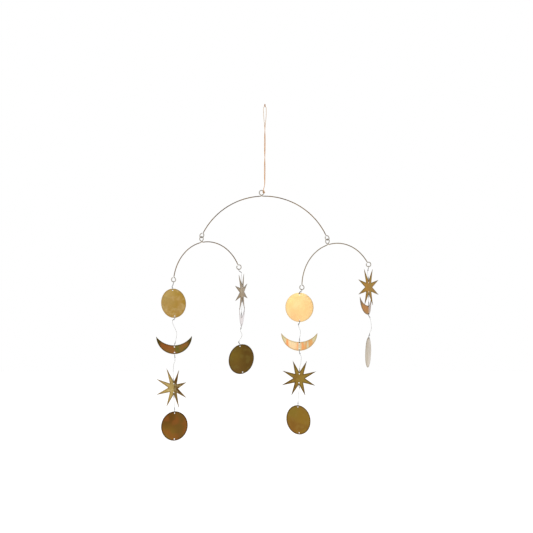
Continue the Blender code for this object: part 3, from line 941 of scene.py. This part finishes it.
@dataclass
class Charm:
    """A brass charm with an upper and a lower thread hole, hung in its solid's place.

    turn is about the vertical, nod tips the top away, lean tips it to the right and fold is the angle
    creased into it. kinks are the route of the thread above it: the share of the drop, and the metres to
    the right and away. wraps is how many turns the threads take through its holes.
    """

    node: str
    shape: Shape
    patina: Patina
    turn: float
    nod: float = 0.0
    lean: float = 0.0
    fold: float = 0.0
    wraps: int = 1
    kinks: tuple[Kink, ...] = ()
    star_radius: float = 0.0360
    valley_radius: float = 0.0118
    star_points: int = 8
    snip_depth: float = 0.0006
    snip_half: float = 0.0040
    disc_diameter: float = 0.0558
    disc_sides: int = 96
    crescent_width: float = 0.0692
    crescent_depth: float = 0.0338
    crescent_thickness: float = 0.0167
    outer_steps: int = 64
    inner_steps: int = 48
    sheet: float = 0.0006
    hole_diameter: float = 0.0024
    hole_inset: float = 0.0031
    hole_sides: int = 20
    bend_half: float = 0.0014
    waviness: float = 0.00022
    wave_length: float = 0.024
    dish: float = 0.0004
    grid: float = 0.0021
    rim_clearance: float = 0.45
    edge_round: float = 0.00014
    edge_angle: float = math.radians(50)
    hole: Vector = field(default_factory=Vector)

    def __post_init__(self) -> None:
        """Put the upper hole where the sheet's box then has the same centre as its solid's."""
        flat = [self.attitude @ self.folded(x, y, 0.0) for x, y in self.outline()]
        self.hole = middle_of(*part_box(self.node)) - middle_of(*bounds_of(flat))

    @property
    def attitude(self) -> Matrix:
        """The charm's turn, from an upright sheet that faces the front."""
        return (
            Matrix.Rotation(math.radians(self.turn), 3, "Z")
            @ Matrix.Rotation(math.radians(-self.nod), 3, "X")
            @ Matrix.Rotation(math.radians(self.lean), 3, "Y")
        )

    @property
    def up(self) -> Vector:
        """The way from the lower hole to the upper one."""
        return self.attitude @ UP

    @property
    def hole_spacing(self) -> float:
        """How far the lower hole is below the upper one."""
        across = {
            Shape.DISC: self.disc_diameter,
            Shape.CRESCENT: self.crescent_thickness,
            Shape.STAR: 2 * self.valley_radius,
        }
        return across[self.shape] - 2 * self.hole_inset

    def outline(self) -> list[Point2]:
        """Give the sheet's cut outline, with the upper hole at the origin."""
        if self.shape is Shape.DISC:
            radius = self.disc_diameter / 2
            return round_points(radius, radius - self.hole_inset, self.disc_sides)
        if self.shape is Shape.CRESCENT:
            return self._crescent_outline()
        return self._star_outline()

    def _crescent_outline(self) -> list[Point2]:
        """Cut a crescent with its horns up."""
        outer = bow(self.crescent_width, self.crescent_depth, self.outer_steps)
        inner = bow(self.crescent_width, self.crescent_depth - self.crescent_thickness, self.inner_steps)
        lift = self.hole_inset - self.crescent_thickness
        lower = [(x, y + lift) for x, y in outer]
        upper = [(x, y + self.hole_inset) for x, y in inner]
        return lower + upper[-2:0:-1]

    def _star_outline(self) -> list[Point2]:
        """Cut a star whose topmost corner is a valley, with the ray tips snipped round."""
        lift = self.hole_inset - self.valley_radius
        low, high = self.star_radius - self.snip_depth, self.star_radius
        valley = [(self.valley_radius, 0.0)]
        ray = [(low, -self.snip_half), (high, 0.0), (low, self.snip_half)]
        points = []
        for i in range(2 * self.star_points):
            for reach, swing in ray if i % 2 else valley:
                a = math.pi * i / self.star_points + swing
                points.append((reach * math.sin(a), reach * math.cos(a) + lift))
        return self._finely(points)

    def _finely(self, corners: list[Point2]) -> list[Point2]:
        """Split an outline's long sides into steps of the grid's size."""
        points = []
        for (x0, y0), (x1, y1) in zip(corners, corners[1:] + corners[:1]):
            count = max(1, round(math.hypot(x1 - x0, y1 - y0) / self.grid))
            points += [(x0 + (x1 - x0) * i / count, y0 + (y1 - y0) * i / count) for i in range(count)]
        return points

    def folded(self, x: float, y: float, height: float) -> Vector:
        """Bend a point of the flat sheet round the crease on its centre line.

        Args:
            x: Distance to the right of the centre line, on the sheet.
            y: Distance above the upper hole.
            height: How far the sheet stands to the front there.

        Returns:
            The point in the charm's own frame, upright and facing the front.
        """
        if not self.fold:
            return Vector((x, -height, y))
        half = math.radians(self.fold) / 2
        bent = half * min(1.0, abs(x) / self.bend_half)
        round_radius = self.bend_half / half
        beyond = max(0.0, abs(x) - self.bend_half)
        reach = round_radius * math.sin(bent) + beyond * math.cos(half)
        back = round_radius * (1 - math.cos(bent)) + beyond * math.sin(half)
        facing = math.copysign(bent, x)
        side = math.copysign(reach, x) + height * math.sin(facing)
        return Vector((side, back - height * math.cos(facing), y))

    def relief(self, x: float, y: float) -> float:
        """Give the sheet's unevenness: a shallow dish and the waves that beating leaves."""
        seed = self.patina.value.seed + self.turn
        wave = noise.noise(Vector((x / self.wave_length, y / self.wave_length, seed)))
        middle = -self.hole_spacing / 2
        span = math.hypot(x, y - middle) / (self.disc_diameter / 2)
        return self.waviness * wave - self.dish * min(1.0, span) ** 2

    def _lattice(self, loops: list[list[Point2]]) -> list[Point2]:
        """Spread points over the sheet, clear of its rim and holes."""
        outer = np.array(loops[0])
        low, high = outer.min(axis=0), outer.max(axis=0)
        row_step = self.grid * math.sqrt(3) / 2
        spots = []
        for j in range(int((high[1] - low[1]) / row_step) + 1):
            shift = self.grid / 2 * (j % 2)
            for i in range(int((high[0] - low[0]) / self.grid) + 1):
                spots.append((low[0] + shift + i * self.grid, low[1] + j * row_step))
        grid = np.array(spots)
        keep = on_sheet(loops, grid)
        for loop in loops:
            keep &= distance_to(loop, grid) > self.grid * self.rim_clearance
        return [tuple(p) for p in grid[keep]]

    def build(self, finish: bpy.types.Material) -> None:
        """Cut the sheet, beat it uneven, crease it, thicken it and round its edges."""
        radius = self.hole_diameter / 2
        holes = [round_points(radius, drop, self.hole_sides) for drop in (0.0, self.hole_spacing)]
        loops = [self.outline(), *holes]
        points: list[Point2] = []
        edges: list[tuple[int, int]] = []
        for loop in loops:
            first = len(points)
            points += loop
            edges += [(first + i, first + (i + 1) % len(loop)) for i in range(len(loop))]
        points += self._lattice(loops)
        flat = delaunay_2d_cdt([Vector(p) for p in points], edges, [], 0, TRIANGLE_ROUNDING)
        spots = np.array([tuple(p) for p in flat[0]])
        keep = on_sheet(loops, spots[np.array(flat[2])].mean(axis=1))
        faces = [face for face, kept in zip(flat[2], keep) if kept]
        places = [self.hole + self.attitude @ self.folded(x, y, self.relief(x, y)) for x, y in spots]
        mesh = bpy.data.meshes.new(self.node + "_sheet")
        mesh.from_pydata(places, [], faces)
        # rim_distance places the painted shade along the rim, and across places the right half's tone and
        # painted shade
        keep_numbers(mesh, "rim_distance", distance_to(loops[0], spots))
        keep_numbers(mesh, "across", spots[:, 0])
        keep_numbers(mesh, "above", spots[:, 1] + self.hole_spacing / 2)
        mesh.materials.append(finish)
        made = piece_of(self.node + "_sheet", mesh)
        self._face_front(mesh)
        thick = made.modifiers.new("sheet", "SOLIDIFY")
        thick.thickness = self.sheet
        thick.offset = 0.0
        rounded = made.modifiers.new("edges", "BEVEL")
        rounded.width = self.edge_round
        rounded.segments = 2
        rounded.limit_method = "ANGLE"
        rounded.angle_limit = self.edge_angle
        stand_for(made, self.node)

    def _face_front(self, mesh: bpy.types.Mesh) -> None:
        """Turn the open sheet's faces to the front and smooth them."""
        front = self.attitude @ -AWAY
        if sum((face.normal * face.area for face in mesh.polygons), Vector()).dot(front) < 0:
            mesh.flip_normals()
        mesh.shade_smooth()


# Threads


@dataclass(frozen=True)
class Tie:
    """One end of a thread: its loop, which starts and ends at the knot, and the turns tied beside it."""

    loop: list[Vector]
    turns: tuple[Spline, ...] = ()


@dataclass
class ThreadMaker:
    """Clear thread, tied with a wrapped knot at each end and looped through a hole or over a wire."""

    diameter: float = 0.0006
    sides: int = 8
    knot_stand: float = 0.0008
    wrap_length: float = 0.0060
    wrap_pitch: float = 0.0007
    wrap_radius: float = 0.00045
    wrap_steps: int = 10
    tail_length: float = 0.0022
    tail_out: float = 0.8
    tail_down: float = 0.5
    turn_spacing: float = 0.0006
    turn_drop: float = 0.00015
    step: float = 0.0009
    tie_step: float = 0.0004
    # Where a loop over a wire starts, ends and has its points, in degrees
    loop_degrees: range = range(230, -61, -18)

    @property
    def offset(self) -> float:
        """How far the thread's line keeps from what it is looped round."""
        return GAP + self.diameter / 2

    def tie_on_wire(self, arm: WireArm, right_side: bool) -> Tie:
        """Loop the thread over an eye's wire, from the knot below it and back."""
        spot, level = arm.lowest_of_eye(right_side)
        reach = arm.wire / 2 + self.offset
        side = UP.cross(level)
        knot = spot - (reach + self.knot_stand) * UP
        round_wire = [
            spot + reach * between(side, UP, math.radians(degrees)) for degrees in self.loop_degrees
        ]
        return Tie([knot, *round_wire, knot])

    def tie_on_charm(self, charm: Charm, lower: bool) -> Tie:
        """Loop the thread through a hole and round the rim, with the charm's number of turns.

        Args:
            charm: The charm that it is tied to.
            lower: Whether the thread hangs from the lower hole, and not the charm from the thread.

        Returns:
            The tie, whose knot stands off the rim.
        """
        outward = -charm.up if lower else charm.up
        hole = charm.hole - charm.hole_spacing * charm.up if lower else charm.hole
        front = charm.attitude @ -AWAY
        side = charm.attitude @ RIGHT
        half = charm.sheet / 2
        reach = half + self.offset
        edge = charm.hole_diameter / 2
        slant = self.offset * math.sqrt(0.5)
        height = charm.hole_inset + self.offset + self.knot_stand
        down = [(0, height), (reach, charm.hole_inset), (reach, edge), (half + slant, edge - slant)]
        line = [(-x, y) for x, y in down] + [(0, edge - self.offset)] + down[::-1]
        routes = []
        for place in range(charm.wraps):
            shift = (place + 1) // 2 * (-1) ** place
            points = [
                hole
                + x * front
                + (y - abs(shift) * self.turn_drop) * outward
                + shift * self.turn_spacing * (1 - max(0.0, y) / height) * side
                for x, y in line
            ]
            routes.append(smooth_route(points, self.tie_step))
        return Tie(routes[0], tuple(Spline(route) for route in routes[1:]))

    def _knot(self, run: list[Vector], first: float, last: float) -> list[Spline]:
        """Wrap a knot round a stretch of the thread, with its cut end standing out of it."""
        wrap = stretch_of(run, first, last)
        start = wrap[len(wrap) // 2]
        out = (run[-1] - run[0]).cross(AWAY).normalized()
        tail = [start, start + self.tail_length * (self.tail_out * out - self.tail_down * UP)]
        return [Spline(wrap, wound=True), Spline(tail)]

    def build(self, charm: Charm, upper: Tie, sweep: Sweep, finish: bpy.types.Material) -> Tie:
        """Tie a charm's thread to what is above it.

        Args:
            charm: The charm that hangs on the thread.
            upper: The tie on the wire or on the charm above.
            sweep: The tree that sweeps the thread.
            finish: The thread's material.

        Returns:
            The tie under the charm, for the next thread.
        """
        lower = self.tie_on_charm(charm, lower=False)
        start, end = upper.loop[-1], lower.loop[-1]
        middle = [start.lerp(end, share) + right * RIGHT + away * AWAY for share, right, away in charm.kinks]
        run = smooth_route([start, *middle, end], self.step)
        splines = [Spline(upper.loop[:-1] + run + lower.loop[-2::-1]), *upper.turns, *lower.turns]
        wrap = min(self.wrap_length, length_of(run) / 2)
        # The run's very last point belongs to no stretch
        long = length_of(run) - HAIR
        splines += self._knot(run, 0.0, wrap) + self._knot(run, long - wrap, long)
        made = sweep.run(
            charm.node + "_nylon",
            splines,
            finish,
            Diameter=self.diameter,
            Sides=self.sides,
            Winding_Radius=self.wrap_radius,
            Lay_Length=self.wrap_pitch,
            Step=self.wrap_pitch / self.wrap_steps,
        )
        stand_for(made, charm.node + "_thread")
        return self.tie_on_charm(charm, lower=True)


# Cord


@dataclass
class HangingCord:
    """The loop of twine, hitched to the main arm's loop and knotted above the hook.

    route_down is one strand's way down, which the other mirrors: the share of the drop, half the distance
    between the two, and how far the pair has turned about itself, in degrees.
    """

    drop: float = 0.1600
    side_shift: float = -0.0021
    twine: float = 0.0011
    hook: float = 0.0038
    hook_step: float = math.radians(30)
    hitch_turns: int = 1
    hitch_at: float = math.radians(15)
    hitch_step: float = math.radians(36)
    plies: int = 3
    ply_share: float = 0.54
    ply_sides: int = 8
    lay_length: float = 0.0042
    lay_steps: int = 12
    step: float = 0.0012
    knot_turns: int = 3
    knot_step: float = math.radians(30)
    knot_radius: float = 0.00075
    knot_foot: float = 0.0012
    knot_top: float = 0.0042
    knot_sides: int = 10
    route_down: tuple[tuple[float, float, float], ...] = (
        (0.05, 0.00260, 0), (0.11, 0.00230, 0), (0.17, 0.00140, 15), (0.23, 0.00085, 60),
        (0.32, 0.00075, 115), (0.42, 0.00075, 175), (0.52, 0.00075, 230), (0.62, 0.00075, 285),
        (0.72, 0.00075, 345), (0.82, 0.00075, 400), (0.91, 0.00080, 445),
    )

    def strand(self, sense: int, arm: WireArm) -> list[Vector]:
        """Follow one strand from the top of the bight to its end in the hitch.

        Args:
            sense: -1 for the left strand, 1 for the right one.
            arm: The main arm, whose loop the cord is hitched to.

        Returns:
            The strand's route points.
        """
        reach = self.hook / 2 + self.twine / 2
        centre = -self.hook / 2 * UP
        points = [
            centre + reach * between(UP, sense * RIGHT, a)
            for a in steps_between(0, math.pi / 2, self.hook_step)
        ]
        for share, half, degrees in self.route_down:
            spot = Vector((share**2 * self.side_shift / 4, 0, -share * self.drop))
            points.append(spot + sense * half * between(RIGHT, AWAY, math.radians(degrees)))
        return points + self._hitch(sense, arm)

    def _hitch(self, sense: int, arm: WireArm) -> list[Vector]:
        """Follow a strand's turns round the wire of the loop."""
        reach = arm.wire / 2 + GAP + self.twine / 2
        pitch = 2 * (self.twine + GAP) / (1 - reach / arm.loop_radius)
        half = self.hitch_turns * pitch / 2 / arm.loop_radius
        _, loop_out, across, through = arm.loop_frame()
        points = []
        for turned in steps_between(0, self.hitch_turns * math.tau, self.hitch_step):
            share = turned / (self.hitch_turns * math.tau)
            angle = self.hitch_at + half * (1 - 2 * share)
            round_wire = between(-through, between(across, loop_out, angle), turned)
            points.append(arm.in_place(arm.loop_point(angle)) + sense * reach * round_wire)
        return points

    def build(self, arm: WireArm, sweep: Sweep) -> None:
        left, right = (smooth_route(self.strand(sense, arm), self.step) for sense in (-1, 1))
        route = left[::-1] + right[1:]
        made = sweep.run(
            "twine_loop",
            [Spline(route, wound=True)],
            CottonTwine("cotton_twine", "d2953c", "d4bf9e", "985a18").build(),
            Diameter=self.twine * self.ply_share,
            Sides=self.ply_sides,
            Plies=self.plies,
            Winding_Radius=self.twine * (1 - self.ply_share) / 2,
            Lay_Length=self.lay_length,
            Step=self.lay_length / self.lay_steps,
        )
        stand_for(made, "hanging_cord")
        knot = self._knot(sweep)

    def _knot(self, sweep: Sweep) -> bpy.types.Object:
        """Tie the twine's two ends above the hook: a few turns, and the cut ends standing up."""
        finish = CottonTwine("cotton_twine_knot", "b87a30", "b87a30", "7a4810").build()
        rise = self.knot_top - self.knot_foot
        wound = []
        for turned in steps_between(0, self.knot_turns * math.tau, self.knot_step):
            height = self.knot_foot + rise * turned / (self.knot_turns * math.tau)
            wound.append(self.knot_radius * between(RIGHT, AWAY, turned) + height * UP)
        splines = [Spline(wound)]
        for side in (-1, 1):
            low = side * self.twine / 4 * RIGHT + (self.knot_top - self.twine) * UP
            high = side * self.twine / 2 * RIGHT + (self.knot_top + self.twine) * UP
            splines.append(Spline([low, high]))
        made = sweep.run("twine_knot", splines, finish, Diameter=self.twine, Sides=self.knot_sides)
        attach(made, BODY)
        log.info("%s: %d faces", made.name, len(made.data.polygons))
        return made


# The mobile


@dataclass
class Mobile:
    """The whole mobile: its arms, its strands of charms and its cord."""

    link_spare_turn: float = 4.0
    loop_turn: float = 6.0
    eye_turn: float = 16.0
    main_radius: float = 0.1290
    small_radius: float = 0.0808
    left_turn: float = -35.0
    right_turn: float = -36.8

    def arms(self) -> tuple[WireArm, WireArm, WireArm]:
        """Give the main, the left and the right arm."""
        small_arm = partial(
            WireArm,
            radius=self.small_radius,
            loop_turn=self.loop_turn,
            left_eye_turn=self.eye_turn,
            right_eye_turn=self.eye_turn,
        )
        left = small_arm("left_arm", turn=self.left_turn, left_end=-79.6, loop_at=-8.7, right_end=62.0)
        right = small_arm("right_arm", turn=self.right_turn, left_end=-88.0, loop_at=-14.5, right_end=55.8)
        # Two rings that hang in each other clear each other from this turn between them
        half_turn = math.asin(math.sqrt(left.spacing / (left.eye_radius + left.loop_radius)))
        link_turn = 2 * math.degrees(half_turn) + self.link_spare_turn
        main = WireArm(
            "main_arm",
            radius=self.main_radius,
            turn=0.0,
            left_end=-62.4,
            loop_at=-1.9,
            right_end=64.6,
            loop_turn=0.0,
            left_eye_turn=left.turn + left.loop_turn + link_turn,
            right_eye_turn=right.turn + right.loop_turn + link_turn,
        )
        return main, left, right

    def strands(self) -> tuple[tuple[Charm, ...], ...]:
        """Give the four strands from the left, each from the top down."""
        disc, crescent, star = (partial(Charm, shape=shape) for shape in Shape)
        left = (
            disc(
                "left_top_disc", patina=Patina.HONEY, turn=35.9, nod=5.1, lean=-2.1,
                kinks=((0.72, -0.0015, 0.0008),),
            ),
            crescent(
                "left_crescent", patina=Patina.CHESTNUT, turn=8.0, lean=-0.9, fold=16.0,
                kinks=(
                    (0.09, -0.0049, 0.0008), (0.23, -0.0031, -0.0012), (0.41, 0.0011, 0.0010),
                    (0.55, 0.0039, -0.0006), (0.74, 0.0034, 0.0009), (0.90, 0.0018, -0.0008),
                ),
            ),
            star(
                "left_star", patina=Patina.SPLIT_GOLD, turn=41.0, nod=10.3, lean=7.9, fold=22.5, wraps=3,
                star_radius=0.0394,
                kinks=(
                    (0.13, 0.0008, 0.0008), (0.24, 0.0010, -0.0012), (0.37, -0.0011, 0.0010),
                    (0.56, -0.0016, -0.0006), (0.90, -0.0013, 0.0009),
                ),
            ),
            disc(
                "left_bottom_disc", patina=Patina.RUSSET, turn=29.2, nod=-1.1, lean=0.1,
                kinks=((0.56, -0.0003, 0.0008),),
            ),
        )
        inner_left = (
            star(
                "inner_left_star", patina=Patina.STEEL, turn=71.3, lean=-3.0, fold=4.0,
                kinks=((0.15, 0.0042, 0.0008), (0.33, 0.0028, -0.0012), (0.74, 0.0001, 0.0010)),
            ),
            crescent("inner_left_crescent", patina=Patina.LILAC, turn=83.0, fold=-5.0),
            disc(
                "inner_left_disc", patina=Patina.UMBER, turn=34.7, nod=-6.0, lean=-10.7,
                kinks=(
                    (0.23, -0.0012, 0.0008), (0.51, 0.0025, 0.0010),
                    (0.74, -0.0003, -0.0006), (0.90, -0.0026, 0.0009),
                ),
            ),
        )
        inner_right = (
            disc("inner_right_top_disc", patina=Patina.CREAM, turn=15.2, nod=2.9, lean=0.6, wraps=3),
            crescent(
                "inner_right_crescent", patina=Patina.PEACH, turn=4.0, wraps=3,
                kinks=(
                    (0.10, -0.0023, 0.0008), (0.29, -0.0005, -0.0012), (0.44, 0.0015, 0.0010),
                    (0.67, 0.0015, -0.0006), (0.83, 0.0004, 0.0009),
                ),
            ),
            star(
                "inner_right_star", patina=Patina.OLIVE, turn=12.8, nod=-1.4, lean=2.1,
                kinks=(
                    (0.13, 0.0013, 0.0008), (0.29, 0.0037, -0.0012),
                    (0.62, 0.0025, 0.0010), (0.79, 0.0007, -0.0006),
                ),
            ),
            disc(
                "inner_right_bottom_disc", patina=Patina.BRONZE, turn=35.0, nod=13.0, lean=6.0,
                kinks=((0.21, 0.0012, 0.0008), (0.42, 0.0002, -0.0012), (0.85, 0.0001, 0.0010)),
            ),
        )
        right = (
            star(
                "right_star", patina=Patina.COPPER, turn=52.4, nod=1.7, lean=1.4,
                kinks=((0.16, -0.0009, 0.0008), (0.37, -0.0017, -0.0012), (0.62, -0.0010, 0.0010)),
            ),
            crescent("right_crescent", patina=Patina.TWO_TONE, turn=68.0, fold=17.0, wraps=3),
            disc(
                "right_disc", patina=Patina.PALE, turn=75.5, nod=-1.1, lean=2.2, wraps=3,
                kinks=(
                    (0.07, 0.0018, 0.0008), (0.21, 0.0034, -0.0012),
                    (0.57, 0.0051, 0.0010), (0.84, 0.0018, -0.0006),
                ),
            ),
        )
        return left, inner_left, inner_right, right

    def build(self) -> None:
        """Make every piece of the mobile."""
        sweep = Sweep()
        main, left, right = self.arms()
        HangingCord().build(main, sweep)
        tarnished = DrawnBrass("drawn_brass_tarnished").build()
        # The right arm's paler wire is painted light: a lighter copy of the same brass, for the light
        # falling more on that arm
        painted_lit_wire = DrawnBrass("drawn_brass_painted_lit", dull="7e7058", warm="8a785a").build()
        for arm, finish in ((main, tarnished), (left, tarnished), (right, painted_lit_wire)):
            arm.build(sweep, finish)
        nylon = ClearNylon().build()
        sheets = {patina: patina.value.build() for patina in Patina}
        maker = ThreadMaker()
        eyes = ((left, False), (left, True), (right, False), (right, True))
        for charms, (arm, right_side) in zip(self.strands(), eyes):
            tie = maker.tie_on_wire(arm, right_side)
            for charm in charms:
                charm.build(sheets[charm.patina])
                tie = maker.build(charm, tie, sweep, nylon)


# The studio


@dataclass(frozen=True)
class SoftLight:
    """A softbox that looks at the middle of the mobile."""

    name: str
    place: tuple[float, float, float]
    width: float
    height: float
    watts: float

    def build(self, target: Vector) -> None:
        """Hang the light."""
        data = bpy.data.lights.new(self.name, "AREA")
        data.shape = "RECTANGLE"
        data.size, data.size_y = self.width, self.height
        data.energy = self.watts
        made = put_in_scene(self.name, data)
        made.location = self.place
        made.rotation_euler = (target - Vector(self.place)).to_track_quat("-Z", "Y").to_euler()


@dataclass
class Studio:
    """The photograph's view, soft lights, and a pale floor under a white surround."""

    distance: float = 2.784
    camera_x: float = 0.003008
    camera_z: float = -0.300048
    lens: float = 100.0
    sensor: float = 36.0
    clip_end: float = 100.0
    floor_z: float = -1.0
    floor_size: float = 14.0
    floor_colour: str = "f4f4f4"
    floor_roughness: float = 0.9
    floor_light: float = 0.40
    horizon_tone: float = 0.95
    upper_tone: float = 0.70
    upper_height: float = 0.6
    # The surround is brighter by glow one way, fading out where the cosine to that way is glow_edge
    glow: float = 0.25
    glow_edge: float = 0.55
    glow_way: tuple[float, float, float] = (0.45, -0.74, 0.50)
    lights: tuple[SoftLight, ...] = (
        SoftLight("key_softbox", (0.9, -1.5, 0.7), 1.2, 1.2, 6.0),
        SoftLight("fill_softbox", (-1.6, -1.0, 0.0), 1.6, 1.6, 5.0),
        SoftLight("back_softbox", (-0.6, 1.8, 0.7), 1.6, 1.4, 6.0),
    )

    def build_camera(self) -> None:
        """Set up the camera, level and straight on."""
        data = bpy.data.cameras.new("photo_camera")
        data.lens = self.lens
        data.sensor_width = self.sensor
        data.clip_end = self.clip_end
        camera = put_in_scene("photo_camera", data)
        camera.location = (self.camera_x, -self.distance, self.camera_z)
        camera.rotation_euler = (math.pi / 2, 0, 0)
        bpy.context.scene.camera = camera

    def build_surround(self) -> None:
        """Light the scene from all round: pure white to the camera, a little dimmer in reflections."""
        world = bpy.data.worlds.new("white_surround")
        world.use_nodes = True
        world.node_tree.nodes.clear()
        add = partial(add_node, world.node_tree)
        way = add("ShaderNodeTexCoord", output="Generated")
        height = add("ShaderNodeSeparateXYZ", {0: way}, output="Z")
        facing = {0: way, 1: self.glow_way}
        toward = add("ShaderNodeVectorMath", facing, output="Value", operation="DOT_PRODUCT")
        risen = {
            "Value": height,
            "From Max": self.upper_height,
            "To Min": self.horizon_tone,
            "To Max": self.upper_tone,
        }
        turned = {"Value": toward, "From Min": self.glow_edge, "To Max": self.glow}
        tone, glow = (
            add("ShaderNodeMapRange", inputs, interpolation_type="SMOOTHSTEP")
            for inputs in (risen, turned)
        )
        dimmed = add("ShaderNodeMath", {0: tone, 1: glow}, operation="ADD")
        seen = add("ShaderNodeLightPath", output="Is Camera Ray")
        strength = add("ShaderNodeMix", {"Factor": seen, 2: dimmed, 3: 1.0}, data_type="FLOAT")
        light = add("ShaderNodeBackground", {"Color": linear("ffffff"), "Strength": strength})
        add("ShaderNodeOutputWorld", {"Surface": light})
        bpy.context.scene.world = world

    def build_floor(self) -> None:
        """Lay a matt pale floor well below the mobile, which a little light of its own keeps white."""
        half = self.floor_size / 2
        corners = [(x * half, y * half, self.floor_z) for x, y in ((-1, -1), (1, -1), (1, 1), (-1, 1))]
        mesh = bpy.data.meshes.new("pale_floor")
        mesh.from_pydata(corners, [], [(0, 1, 2, 3)])
        finish, _, shader = begin_material("pale_floor_paint")
        looks = {
            "Base Color": linear(self.floor_colour),
            "Roughness": self.floor_roughness,
            "Emission Color": linear("ffffff"),
            "Emission Strength": self.floor_light,
        }
        feed(shader, looks)
        mesh.materials.append(finish)
        put_in_scene("pale_floor", mesh)

    def build(self) -> None:
        """Set up everything round the mobile."""
        self.build_camera()
        self.build_surround()
        self.build_floor()
        target = Vector((self.camera_x, 0, self.camera_z))
        for light in self.lights:
            light.build(target)
        bpy.context.scene.view_settings.view_transform = "Standard"


def main() -> None:
    """Build the studio and the mobile."""
    logging.basicConfig(level=logging.INFO, format="%(name)s: %(message)s")
    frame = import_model()
    Studio().build()
    Mobile().build()
    log.info("dressed a frame of %d solids", len(frame["nodes"]))
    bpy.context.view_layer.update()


if __name__ == "__main__":
    main()
